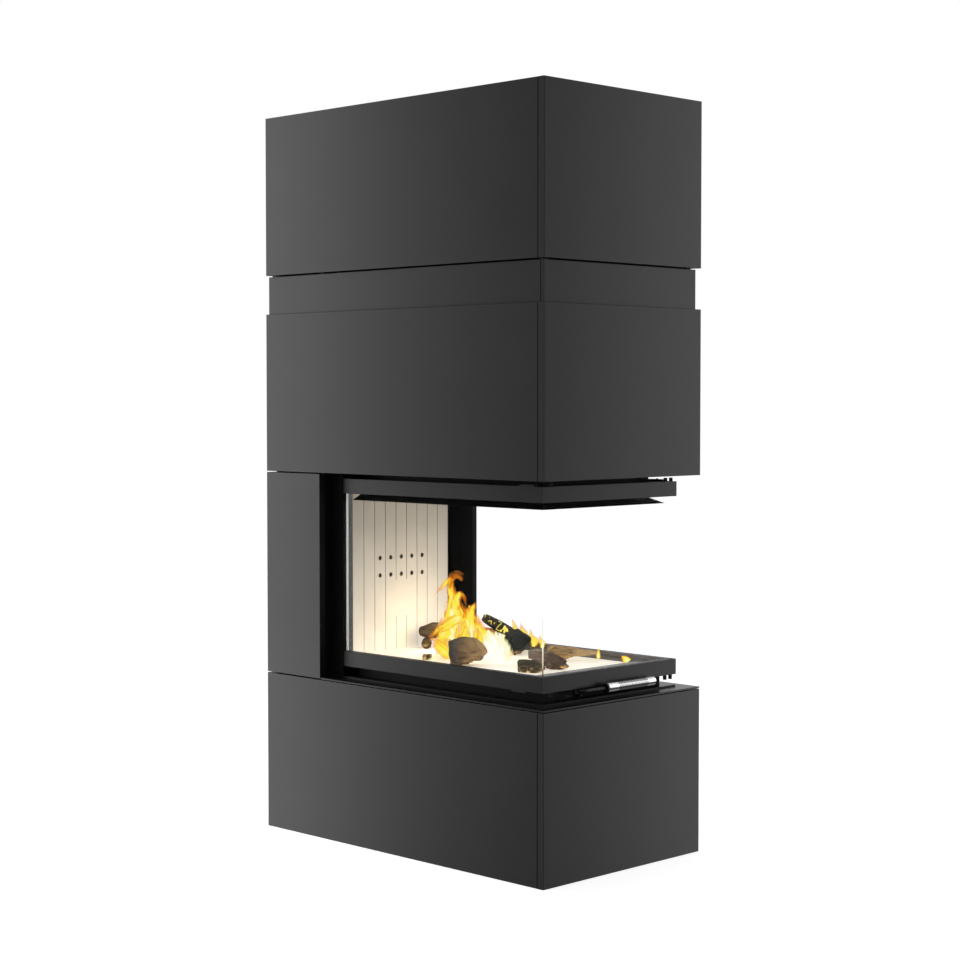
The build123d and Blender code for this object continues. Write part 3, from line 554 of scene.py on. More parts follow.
@dataclass(frozen=True)
class Flame:
    """Fire on thin sheets: streaked, ragged and clear at its edge, cooler towards the tip."""

    name: str
    strength: float
    bias: float
    cooling: float
    ragged: float
    stops: tuple[tuple[float, Colour], ...]
    flow: str = "flame_flow"

    def build(self) -> bpy.types.Material:
        """Make the material."""
        material, shader = new_material(self.name)
        sheet = shader.add("SeparateXYZ", Vector=shader.add("TexCoord").outputs["UV"])
        across = shader.maths("ABSOLUTE", shader.maths("MULTIPLY_ADD", sheet.outputs[0], 2.0, -1.0))
        edge = shader.maths("POWER", across, 2.0)
        rise = shader.maths("POWER", sheet.outputs[1], 1.6)
        drawn = shader.add("Attribute", {"attribute_name": self.flow}).outputs["Vector"]
        cool = shader.add("SeparateXYZ", Vector=drawn).outputs["Z"]
        place = shader.add("TexCoord").outputs["Object"]
        sway = shader.add("TexNoise", Vector=place, Scale=24.0, Detail=1.0).outputs["Color"]
        bent = shader.add("VectorMath", {"operation": "MULTIPLY_ADD"})
        shader.feed(bent.inputs[0], sway)
        bent.inputs[1].default_value = (2.4, 1.6, 0.0)
        shader.feed(bent.inputs[2], shader.add("Mapping", Vector=drawn, Scale=(1.0, 1.0, 0.0)).outputs[0])
        wisp = shader.add("TexNoise", Vector=bent.outputs[0], Scale=1.0, Detail=3.0).outputs[0]
        body_heat = shader.maths("MULTIPLY_ADD", edge, -1.0, self.bias)
        cooled = shader.maths("MULTIPLY_ADD", rise, -self.cooling, shader.maths("SUBTRACT", body_heat, cool))
        fire_glow = shader.maths("ADD", cooled, shader.maths("MULTIPLY_ADD", wisp, self.ragged, -0.5 * self.ragged))
        colour = shader.ramp(fire_glow, self.stops)
        seen = shader.add("MapRange", From_Min=0.0, From_Max=0.55)
        shader.feed(seen.inputs["Value"], fire_glow)
        body = shader.add(
            "BsdfPrincipled",
            Base_Color=rgba((0.0, 0.0, 0.0)),
            Roughness=1.0,
            Specular_IOR_Level=0.0,
            Alpha=seen.outputs[0],
            Emission_Color=colour,
            Emission_Strength=self.strength,
        )
        shader.add("OutputMaterial", Surface=body.outputs[0])
        return material


BAR_LOW, BAR_HIGH = (corner[2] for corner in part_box("handle_grip"))
CASING = Coat("anthracite_casing", (0.0053, 0.0053, 0.0054), 0.35, 0.13, mottle=0.05, grain_depth=0.03)
DECK = Coat("anthracite_deck", (0.004, 0.004, 0.0041), 0.30, 0.12, mottle=0.06)
FRAME_PAINT = Coat("frame_primer", (0.030, 0.030, 0.032), 0.6, 0.3)
FIREBOX = Coat("heat_black", (0.002, 0.002, 0.002), 0.5, 0.05, mottle=0.25)
RIM = Coat("hearth_rim_grey", (0.11, 0.11, 0.115), 0.35, 0.5, mottle=0.15)
DOOR = Coat("door_bar_black", (0.0045, 0.0045, 0.0046), 0.35, 0.11, mottle=0.08)
BAR_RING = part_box("lower_door_bars")[1]
BAR_DEPTH = 0.0176
# Painted light: the bars' inner faces, towards the fire, are paler than their black outer faces.
LOWER_BARS = BoxPaintedLight(
    "lower_bar_black_painted_light",
    (0.0045, 0.0045, 0.0046),
    (0.17, 0.168, 0.164),
    (-1.0, BAR_DEPTH - BAR_RING[1], 0.0),
    (BAR_RING[0] - BAR_DEPTH, BAR_RING[1] - BAR_DEPTH, 2.0),
)
RAIL_RING, GLASS_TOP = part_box("guide_rails")[1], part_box("glass_front")[1][2]
# Painted light: the rails' strip next to the lining is pale grey and given a painted glow.
RAILS = BoxPaintedLight(
    "rail_black_painted_light",
    (0.002, 0.002, 0.002),
    (0.55, 0.55, 0.55),
    (RAIL_RING[0] - 0.006, 0.014 - RAIL_RING[1], BAR_RING[2]),
    (0.0, 0.0, GLASS_TOP),
    0.5,
    0.05,
    0.34,
)
HARDWARE = Coat("black_oxide", (0.005, 0.005, 0.0055), 0.4, 0.12)
HANDLE_BLACK = Coat("handle_black", (0.005, 0.005, 0.005), 0.35, 0.12)
ZINC = Coat("zinc_plate", (0.55, 0.56, 0.57), 0.35, 0.5, 1.0, 0.2, 250.0)
CHROME = PaintedReflectionChrome("chrome_painted_reflections", BAR_LOW, BAR_HIGH)
STRAND = Coat("cable_strand", (0.42, 0.43, 0.44), 0.4, 0.5, 1.0, 0.3, 900.0, 0.6)
IRON = Coat("cast_weight", (0.035, 0.034, 0.033), 0.7, 0.3, 0.0, 0.3, 300.0, 0.3)
BOARD = Coat("insulation_board", (0.75, 0.75, 0.75), 0.9, 0.2, 0.0, 0.2, 350.0, 0.3)
# Painted glow: this copy of the insulation board emits its own colour, so its edge strip beside the lining shows pale
# without a lamp.
LIT_BOARD = Coat("firelit_board", (0.75, 0.75, 0.75), 0.9, 0.2, 0.0, 0.2, 350.0, 0.3, 0.32)
GLASS = Pane("clear_pane")
GLINT = EdgeGlint("corner_glint", BAR_RING[2], BAR_RING[2] + 0.098)
LINING_FACE, LINING_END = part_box("end_lining")[1][:2]
# The lining's painted fire light: pale near the bed and darker above, with a painted glow, painted shade in its
# grooves and a grey painted glow on its end sides.
LINING = Firebrick(
    "chamotte_lining",
    (0.40, 0.37, 0.32),
    (0.80, 0.76, 0.69),
    0.44,
    0.80,
    0.28,
    LINING_FACE,
    LINING_END - 0.0005,
)
# The fire bed's painted glow: the bricks under the fire emit a warm light.
BRICK = Firebrick("fire_bed", (0.95, 0.94, 0.88), (0.94, 0.92, 0.85), 0.40, 0.62, 0.9)
WOOD = BurningWood("burning_wood")
FLAME = Flame(
    "flame",
    1.0,
    1.16,
    0.78,
    1.7,
    (
        (0.0, (1.0, 0.70, 0.30)),
        (0.10, (0.97, 0.36, 0.05)),
        (0.24, (0.84, 0.13, 0.006)),
        (0.38, (0.93, 0.42, 0.018)),
        (0.54, (0.965, 0.76, 0.055)),
        (0.80, (0.97, 0.84, 0.10)),
        (1.0, (1.0, 0.97, 0.45)),
    ),
)
WHITE_FLAME = Flame(
    "white_flame",
    1.0,
    0.92,
    0.70,
    1.8,
    (
        (0.0, (1.0, 1.0, 0.75)),
        (0.25, (1.0, 0.88, 0.36)),
        (0.50, (1.0, 0.97, 0.62)),
        (0.75, (1.0, 1.0, 0.92)),
    ),
)

Finish = Coat | BoxPaintedLight | EdgeGlint | Pane | Firebrick | BurningWood | PaintedReflectionChrome | Flame


class Wardrobe:
    """Builds each finish once and puts it on pieces."""

    def __init__(self) -> None:
        """Start with nothing built."""
        self.built: dict[str, bpy.types.Material] = {}

    def wear(self, piece: bpy.types.Object, finish: Finish) -> None:
        """Give one piece its only material.

        Args:
            piece: The mesh object.
            finish: Its finish.
        """
        if finish.name not in self.built:
            self.built[finish.name] = finish.build()
        piece.data.materials.clear()
        piece.data.materials.append(self.built[finish.name])

    def dress(self, finish: Finish, *nodes: str) -> None:
        """Dress these CAD nodes and report them.

        Args:
            finish: Their finish.
            nodes: The nodes' names.
        """
        for name in nodes:
            self.wear(frame["nodes"][name], finish)
            LOG.info("dressed %s in %s", name, finish.name)


WARDROBE = Wardrobe()


def node_body(node: str) -> str:
    """The name of the rigid body that a CAD node belongs to."""
    return frame["nodes"][node]["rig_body"]


def mesh_piece(name: str, shape: bmesh.types.BMesh, finish: Finish, body: str | None) -> bpy.types.Object:
    """Turn a finished shape into an object that rides on a body.

    Args:
        name: The piece's name.
        shape: Its mesh, in the row frame, freed here.
        finish: Its finish.
        body: The body it rides on, or None for a piece left on no body.

    Returns:
        The new object.
    """
    data = bpy.data.meshes.new(name)
    shape.to_mesh(data)
    shape.free()
    piece = bpy.data.objects.new(name, data)
    bpy.context.scene.collection.objects.link(piece)
    WARDROBE.wear(piece, finish)
    if body:
        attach(piece, body)
    LOG.info("built %s on %s", name, body or "two bodies")
    return piece


def smooth_by_angle(shape: bmesh.types.BMesh, degrees: float = 35.0) -> None:
    """Shade smooth, with edges sharper than this angle left crisp.

    Args:
        shape: The mesh to mark.
        degrees: The least angle of a crisp edge.
    """
    for face in shape.faces:
        face.smooth = True
    for edge in shape.edges:
        edge.smooth = edge.calc_face_angle(math.pi) < math.radians(degrees)


def rounded_copy(node: str, finish: Finish) -> bpy.types.Object:
    """A copy of a round CAD node with its doubles merged and its curves shaded smooth.

    Args:
        node: The CAD node to stand for.
        finish: Its finish.

    Returns:
        The copy, in the node's place.
    """
    shape = bmesh.new()
    shape.from_mesh(frame["nodes"][node].data)
    bmesh.ops.remove_doubles(shape, verts=shape.verts, dist=0.00001)
    smooth_by_angle(shape)
    piece = mesh_piece(f"{node}_smooth", shape, finish, node_body(node))
    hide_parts(node)
    return piece


def tube(shape: bmesh.types.BMesh, stations: Iterable[tuple[Matrix, float]], segments: int) -> list:
    """A closed tube through rings, each set by a matrix and a radius.

    Args:
        shape: The mesh to add to.
        stations: Where each ring stands and its radius, in order.
        segments: Sides of the ring.

    Returns:
        The rings' vertices, a list for each.
    """
    stations = list(stations)
    first, radius = stations[0]
    made = bmesh.ops.create_circle(shape, cap_ends=True, segments=segments, radius=1.0)
    ring = list(made["verts"])
    rings = [ring]
    bmesh.ops.transform(shape, matrix=first @ Matrix.Diagonal((radius, radius, 1, 1)), verts=ring)
    edges = [e for e in shape.edges if e.verts[0] in ring and e.verts[1] in ring]
    before, before_radius = first, radius
    for place, radius in stations[1:]:
        out = bmesh.ops.extrude_edge_only(shape, edges=edges)["geom"]
        ring = [g for g in out if isinstance(g, bmesh.types.BMVert)]
        edges = [g for g in out if isinstance(g, bmesh.types.BMEdge)]
        back = (before @ Matrix.Diagonal((before_radius, before_radius, 1, 1))).inverted()
        here = place @ Matrix.Diagonal((radius, radius, 1, 1))
        bmesh.ops.transform(shape, matrix=here @ back, verts=ring)
        rings.append(ring)
        before, before_radius = place, radius
    bmesh.ops.contextual_create(shape, geom=edges)
    bmesh.ops.recalc_face_normals(shape, faces=shape.faces)
    return rings


def along(start: Vector, heading: Vector, distance: float) -> Matrix:
    """A ring's place on a straight line, its plane square to the heading."""
    return Matrix.Translation(start + heading * distance) @ heading.to_track_quat("Z", "Y").to_matrix().to_4x4()


@dataclass
class Casing:
    """The cladding modules, the frame behind them and the top cover."""

    modules: tuple[str, ...] = ("base", "hood", "band", "crown")
    sides: tuple[str, ...] = ("front", "rear", "end")

    def build(self) -> None:
        """Dress every panel and the hidden frame."""
        panels = [f"{module}_{side}_panel" for module in self.modules for side in self.sides]
        panels += ["column_front_panel", "column_rear_panel", "top_cover"]
        panels += [f"{module}_wall_panel" for module in ("base", "column", "upper")]
        WARDROBE.dress(CASING, *panels)
        WARDROBE.dress(FRAME_PAINT, "column_uprights", "base_frame", "upper_frame", "insert_stand")
        WARDROBE.dress(ZINC, "levelling_feet")
        rounded_copy("panel_screws", HARDWARE)
        rounded_copy("air_inlet_collar", ZINC)


@dataclass
class Hearth:
    """The deck, plinth, rim, fire bed, lining and smoke dome."""

    def build(self) -> None:
        """Dress the fixed parts of the firebox."""
        WARDROBE.dress(DECK, "deck_plate", "deck_riser")
        WARDROBE.dress(FIREBOX, "plinth", "firebox_end_wall", "column_reveals")
        WARDROBE.dress(RAILS, "guide_rails")
        WARDROBE.dress(FIREBOX, "smoke_dome", "air_skirt", "baffle_bars")
        WARDROBE.dress(RIM, "hearth_rim")
        WARDROBE.dress(BRICK, "hearth_bricks")
        WARDROBE.dress(LINING, "end_lining")
        WARDROBE.dress(LIT_BOARD, "end_insulation")
        WARDROBE.dress(BOARD, "baffle_slab")
        WARDROBE.dress(HARDWARE, "air_slide")
        rounded_copy("flue_collar", FIREBOX)


@dataclass
class LiftingDoor:
    """The door's bars, panes, carriages and fasteners."""

    edge_inset: float = 0.0004
    edge_width: float = 0.0023

    def build(self) -> None:
        """Dress the door."""
        WARDROBE.dress(LOWER_BARS, "lower_door_bars")
        WARDROBE.dress(DOOR, "upper_door_bars")
        WARDROBE.dress(GLASS, "glass_front", "glass_end", "glass_rear")
        WARDROBE.dress(FIREBOX, "door_carriages")
        WARDROBE.dress(HARDWARE, "corner_plates", "door_bolts", "handle_pin")
        self.painted_corner_glint()

    def painted_corner_glint(self) -> None:
        """Stand a painted glint on the corner of the front and end panes: a thin glowing strip as far up as the fire
        lights the edge.
        """
        outer_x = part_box("glass_end")[1][0] - self.edge_inset
        outer_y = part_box("glass_front")[0][1] + self.edge_inset
        half = self.edge_width / 2
        middle = Vector((outer_x - half, outer_y + half, (GLINT.low + GLINT.high) / 2))
        shape = bmesh.new()
        bmesh.ops.create_cube(shape, size=1.0)
        size = Matrix.Diagonal((self.edge_width, self.edge_width, GLINT.high - GLINT.low, 1))
        bmesh.ops.transform(shape, matrix=Matrix.Translation(middle) @ size, verts=shape.verts)
        mesh_piece("glass_corner_painted_glint", shape, GLINT, Body.DOOR.value)


@dataclass
class Handle:
    """The bent rod, black cap and knurled chrome grip."""

    segments: int = 52
    diamonds: int = 13
    knurl_from: float = 0.21
    knurl_to: float = 0.83
    diamond: float = 0.0052
    rows_per_diamond: int = 4
    knurl_depth: float = 0.0005
    groove: float = 0.26
    line_width: float = 0.0012
    chamfer: float = 0.0012

    def build(self) -> None:
        """Dress the rod and cap and turn the grip."""
        rounded_copy("handle_rod", HANDLE_BLACK)
        rounded_copy("handle_cap", HANDLE_BLACK)
        self.grip()

    def grip(self) -> None:
        """Turn the grip as one bar with a diamond knurl between two plain ends, the knurl darkened with painted shade.
        """
        low, high = (Vector(corner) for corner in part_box("handle_grip"))
        centre = (low + high) / 2
        length = high.y - low.y
        radius = (high.z - low.z) / 2
        start = Vector((centre.x, low.y, centre.z))
        heading = Vector((0, 1, 0))
        first, last = self.knurl_from * length, self.knurl_to * length
        rows = round((last - first) / self.diamond) * self.rows_per_diamond
        step = (last - first) / rows
        plain = [(0.0, radius)]
        plain += [(first - self.line_width, radius), (first - self.line_width, radius - self.knurl_depth)]
        knurled = [(first + row * step, radius) for row in range(rows + 1)]
        tail = [(last + self.line_width, radius - self.knurl_depth), (last + self.line_width, radius)]
        tail += [(length - self.chamfer, radius), (length, radius - self.chamfer)]
        stations = [(along(start, heading, place), size) for place, size in plain + knurled + tail]
        shape = bmesh.new()
        shade = shape.verts.layers.float_color.new(CHROME.shade)
        rings = tube(shape, stations, self.segments)
        for vert in shape.verts:
            vert[shade] = (1.0, 1.0, 1.0, 1.0)
        for row, ring in enumerate(rings[len(plain):len(plain) + rows + 1]):
            for vert in ring:
                axis = Vector((centre.x, vert.co.y, centre.z))
                offset = vert.co - axis
                around = math.atan2(offset.z, offset.x) / math.tau * self.diamonds
                lengthwise = row / self.rows_per_diamond
                near = min(abs(value - round(value)) for value in (around + lengthwise, around - lengthwise))
                cut = max(0.0, 1 - near / self.groove)
                vert.co = axis + offset * (1 - cut * self.knurl_depth / radius)
                # Painted shade: the knurl is darker than the plain ends and darkest in its grooves.
                tone = 0.56 - 0.50 * cut
                vert[shade] = (tone, tone, tone, 1.0)
        smooth_by_angle(shape, 30.0)
        piece = mesh_piece("handle_grip_knurled", shape, CHROME, Body.HANDLE.value)
        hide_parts("handle_grip")


@dataclass
class LiftingGear:
    """Pulleys, counterweights and the cables that run over them."""

    joint: str = "door_lift"
    segments: int = 16
    arc_steps: int = 24

    def build(self) -> None:
        """Dress the gear and lay the cables."""
        WARDROBE.dress(FRAME_PAINT, "pulley_bridge")
        WARDROBE.dress(IRON, "counterweight_front", "counterweight_rear")
        for side in ("front", "rear"):
            rounded_copy(f"pulley_{side}", ZINC)
        self.cables()

    def cables(self) -> None:
        """Lay both cables: the door runs as one piece fixed to the stove, and each weight run as a loose piece over
        its pulley.
        """
        low, high = (Vector(corner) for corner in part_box("lift_cables"))
        moving = bmesh.new()
        for side in ("front", "rear"):
            wheel_low, wheel_high = (Vector(corner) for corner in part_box(f"pulley_{side}"))
            axle = (wheel_low + wheel_high) / 2
            if side == "front":
                radius = axle.y - low.y
            door_x = high.x - radius
            bend = door_x - axle.x
            foot_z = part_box("upper_door_bars")[1][2]
            foot = Vector((door_x, axle.y, foot_z))
            run = axle.z - foot_z
            tube(moving, [(along(foot, UP, 0), radius), (along(foot, UP, run), radius)], self.segments)
            rings = []
            for step in range(self.arc_steps + 1):
                turn = math.pi * step / self.arc_steps
                place = Vector((axle.x + bend * math.cos(turn), axle.y, axle.z + bend * math.sin(turn)))
                spin = Matrix.Rotation(-turn, 4, "Y")
                rings.append((Matrix.Translation(place) @ spin, radius))
            end = Vector((axle.x - bend, axle.y, low.z))
            rings.append((Matrix.Translation(end) @ spin, radius))
            hanging = bmesh.new()
            tube(hanging, rings, self.segments)
            smooth_by_angle(hanging)
            weight_run = mesh_piece(f"cable_weight_run_{side}", hanging, STRAND, None)
            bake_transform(weight_run)
            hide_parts("lift_cables")
        smooth_by_angle(moving)
        door_run = mesh_piece("cable_door_run", moving, STRAND, Body.STOVE.value)
        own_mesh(door_run)
        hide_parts("lift_cables")


@dataclass(frozen=True)
class LogLook:
    """Which CAD log it is, by a point near its middle, and how its wood is shaped."""

    near: Point
    bark: Bark
    sides: int
    roundness: float
    lumpy: float
    seed: float
    start_flat: float = 0.0
    end_flat: float = 0.0
    flat_at: float = 0.0
    chips: int = 0
    far_bark_and_painted_light: Bark | None = None
    burn: float = 0.0
    girth: float = 1.0

    def skin(self, share: float) -> tuple[float, float, float, float]:
        """The bark's colour this far along, blending to the far colour, which on one log is painted fire light, with
        how much it burns as its last value.
        """
        blend = min(max((share - 0.3) / 0.4, 0.0), 1.0)
        near, far = Vector(self.bark.value), Vector((self.far_bark_and_painted_light or self.bark).value)
        return (*near.lerp(far, blend), self.burn)


@dataclass
class LogPile:
    """The logs, each shaped over its CAD bar's axis, length and thickness."""

    rings: int = 32
    segments: int = 44
    crisp: float = 67.0
    tip: float = 0.38
    bevel: float = 0.09
    looks: tuple[LogLook, ...] = (
        # This log's far end turns to FIRELIT, a painted fire light.
        LogLook((0.088, -0.125, 0.497), Bark.GREY, 5, 1.0, 0.2, 1.3, 0.1, 0.0, -0.5, 10, Bark.FIRELIT, girth=1.42),
        LogLook((0.290, -0.105, 0.482), Bark.OLIVE, 6, 0.9, 0.3, 2.1, 0.1, 0.45, -0.6, 3, girth=1.2),
        LogLook((0.254, -0.007, 0.491), Bark.PALE, 5, 1.0, 0.2, 3.7, 0.0, 0.45, -0.2, 10, Bark.UMBER, girth=1.45),
        LogLook((0.211, 0.131, 0.486), Bark.LIGHT, 6, 0.6, 0.4, 4.4, 0.0, 0.2, 0.0, 5, Bark.STRAW),
        LogLook((-0.236, 0.046, 0.480), Bark.BROWN, 6, 0.8, 0.2, 5.9),
        LogLook((-0.199, 0.084, 0.480), Bark.BROWN, 6, 0.8, 0.2, 6.2),
        LogLook((-0.069, 0.112, 0.497), Bark.LIGHT, 5, 0.4, 0.4, 7.5),
        LogLook((-0.023, 0.158, 0.480), Bark.BROWN, 5, 0.5, 0.2, 8.1),
        LogLook((0.031, 0.120, 0.495), Bark.BLUE_BLACK, 6, 1.0, 0.3, 8.8, chips=11, girth=1.3),
        LogLook((-0.061, -0.118, 0.474), Bark.BROWN, 4, 0.2, 0.4, 9.1),
        LogLook((-0.218, 0.065, 0.512), Bark.BROWN, 6, 1.0, 0.9, 10.6, 0.55, 0.8, 0.0, 7, girth=1.35),
        LogLook((-0.046, 0.135, 0.530), Bark.CHARCOAL, 7, 1.0, 0.3, 11.2, 0.25, burn=1.0, girth=1.28),
    )

    def build(self) -> None:
        """Shape every log in one piece that stands for the CAD bars."""
        shape = bmesh.new()
        tone = shape.verts.layers.float_color.new(WOOD.tone)
        wrap = shape.loops.layers.uv.new("UVMap")
        for bar in self.bars():
            self.shape_log(shape, tone, wrap, *bar)
        smooth_by_angle(shape, 22.0)
        piece = mesh_piece("log_pile", shape, WOOD, Body.STOVE.value)
        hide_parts("logs")

    def bars(self) -> list[tuple[Vector, Vector, float, float]]:
        """Read each CAD bar's end middles and thicknesses from the crisp rims of its ends.

        Returns:
            For each bar, its start, end, start radius and end radius.
        """
        merged = bmesh.new()
        merged.from_mesh(frame["nodes"]["logs"].data)
        bmesh.ops.remove_doubles(merged, verts=merged.verts, dist=0.00001)
        rim = {edge for edge in merged.edges if edge.calc_face_angle(0) > math.radians(self.crisp)}
        found = []
        for island in self.groups(set(merged.verts), set(merged.edges)):
            ends = []
            for ring in self.groups({v for v in island if rim.intersection(v.link_edges)}, rim):
                middle = sum((vert.co for vert in ring), Vector()) / len(ring)
                reach = max((vert.co - middle).length for vert in ring)
                ends.append((middle, reach * math.cos(math.pi / len(ring))))
            (start, start_radius), (end, end_radius) = sorted(ends, key=lambda e: (e[0].x + e[0].y, e[0].x))
            found.append((start, end, start_radius, end_radius))
        merged.free()
        return sorted(found, key=lambda bar: (round(bar[0].x, 4), round(bar[0].y, 4)))

    @staticmethod
    def groups(verts: set, edges: set) -> list[set]:
        """Sort corners into groups that these edges join."""
        left, found = set(verts), []
        while left:
            group, front = set(), {left.pop()}
            while front:
                vert = front.pop()
                group.add(vert)
                front |= {edge.other_vert(vert) for edge in vert.link_edges if edge in edges} - group
            left -= group
            found.append(group)
        return found

    @staticmethod
    def facet(angle: float, sides: int) -> float:
        """How far a polygon's rim lies from its middle at this angle, 1 at a corner."""
        wedge = math.tau / sides
        part = angle % wedge - wedge / 2
        return math.cos(wedge / 2) / math.cos(part)

    def shape_log(
        self,
        shape: bmesh.types.BMesh,
        tone: bmesh.types.BMLayerItem,
        wrap: bmesh.types.BMLayerItem,
        start: Vector,
        end: Vector,
        start_radius: float,
        end_radius: float,
    ) -> None:
        """Shape one log: a split or barked bar with lumps, ridges and broken ends.

        Args:
            shape: The mesh to add to.
            tone: The colour layer for its bark.
            wrap: The UV layer, around and along the log.
            start: The middle of one end.
            end: The middle of the other end.
            start_radius: The first end's radius.
            end_radius: The second end's radius.
        """
        middle = (start + end) / 2
        look = min(self.looks, key=lambda look: (Vector(look.near) - middle).length)
        heading = (end - start).normalized()
        length = (end - start).length
        stations = [(along(start, heading, 0.0), start_radius * inset) for inset in (0.30, 0.65, 0.90)]
        for ring in range(self.rings + 1):
            share = ring / self.rings
            size = start_radius + (end_radius - start_radius) * share
            stations.append((along(start, heading, length * share), size))
        stations += [(along(start, heading, length), end_radius * inset) for inset in (0.90, 0.65, 0.30)]
        rings = tube(shape, stations, self.segments)
        level = heading.cross(UP).normalized()
        upright = level.cross(heading)
        seed = Vector((look.seed * 3.1, look.seed * 1.7, look.seed * 2.3))
        mean = (start_radius + end_radius) / 2
        cuts = self.chop(look, start, end, mean)
        spots = {}
        for ring in rings:
            for vert in ring:
                distance = (vert.co - start).dot(heading)
                share = min(max(distance / length, 0.0), 1.0)
                spoke = vert.co - (start + heading * distance)
                angle = math.atan2(spoke.dot(upright), spoke.dot(level))
                spots[vert] = (angle / math.tau, distance)
                axis = vert.co - spoke
                reach = look.girth
                for point, normal in cuts:
                    slope = spoke.dot(normal)
                    if slope > 0.25 * spoke.length:
                        reach = min(reach, look.girth * (point - axis).dot(normal) / slope)
                near_end = min(share, 1 - share, self.bevel) / self.bevel
                reach = max(reach, 0.6) * math.sqrt(1 - 0.45 * (1 - near_end) ** 2)
                vert.co = axis + spoke * reach + self.carve(look, seed, spoke, angle, share)
                tip = max(0.0, 1 - share / self.tip), max(0.0, 1 - (1 - share) / self.tip)
                squeeze = look.start_flat * tip[0] + look.end_flat * tip[1]
                height = (vert.co - (start + heading * distance)).dot(upright) - look.flat_at * mean
                vert.co -= upright * height * squeeze
                brk = noise.noise(vert.co * 60 + seed) + 0.8 * noise.noise(vert.co * 22 - seed)
                if distance < 0.001 or distance > length - 0.001:
                    vert.co += heading * (1 if share < 0.5 else -1) * abs(brk) * 0.30 * mean
                vert[tone] = look.skin(share)
        for face in {face for vert in spots for face in vert.link_faces}:
            seam = max(spots[loop.vert][0] for loop in face.loops if loop.vert in spots)
            for loop in face.loops:
                around, distance = spots[loop.vert]
                loop[wrap].uv = (around + (1.0 if seam - around > 0.5 else 0.0), distance / 0.3 + look.seed)

    @staticmethod
    def chop(look: LogLook, start: Vector, end: Vector, mean: float) -> list[tuple[Vector, Vector]]:
        """Flat cuts that leave a log's large facets.

        Args:
            look: The log's look, with its number of cuts.
            start: The middle of one end.
            end: The middle of the other end.
            mean: The log's mean radius.

        Returns:
            A point on each cut and its outward normal.
        """
        dice = random.Random(look.seed)
        heading = (end - start).normalized()
        level = heading.cross(UP).normalized()
        upright = level.cross(heading)
        cuts = []
        for number in range(look.chips):
            turn = math.radians(137.5) * number + dice.uniform(-0.4, 0.4)
            outward = level * math.cos(turn) + upright * math.sin(turn)
            normal = (outward + heading * dice.uniform(-0.8, 0.8)).normalized()
            point = start.lerp(end, dice.uniform(0.1, 0.9)) + outward * mean * dice.uniform(0.66, 1.0)
            cuts.append((point, normal))
        return cuts

    def carve(self, look: LogLook, seed: Vector, spoke: Vector, angle: float, share: float) -> Vector:
        """How far one corner of a log moves to leave facets, knots and ridges.

        Args:
            look: The log's look.
            seed: Where in the noise this log lies.
            spoke: From the axis to the corner.
            angle: The corner's angle around the axis.
            share: How far along the log it is, from 0 to 1.

        Returns:
            The corner's move.
        """
        wander = 0.5 * noise.noise(Vector((share * 2.0, look.seed, 0.0)))
        facet = 1.08 * self.facet(angle + look.seed + wander, look.sides)
        profile = facet * (1 - look.roundness) + look.roundness
        round_way = spoke.normalized()
        knots = noise.fractal(round_way * 0.9 + seed + Vector((share * 3.5, 0, 0)), 0.8, 2.1, 3)
        ridge = noise.noise(round_way * 4.5 + seed + Vector((share * 1.2, 0, 0)))
        change = profile - 1 + look.lumpy * (0.16 * knots + 0.14 * ridge - 0.02)
        return spoke * min(change, 0.08)


@dataclass(frozen=True)
class Ribbon:
    """A tongue of flame: its depth towards the front corner, how much cooler it burns, and its spine.

    Each station of the spine is a sideways place, a height over the bed and a width, all in centimetres.
    """

    depth: float
    cool: float
    spine: tuple[Point, ...]


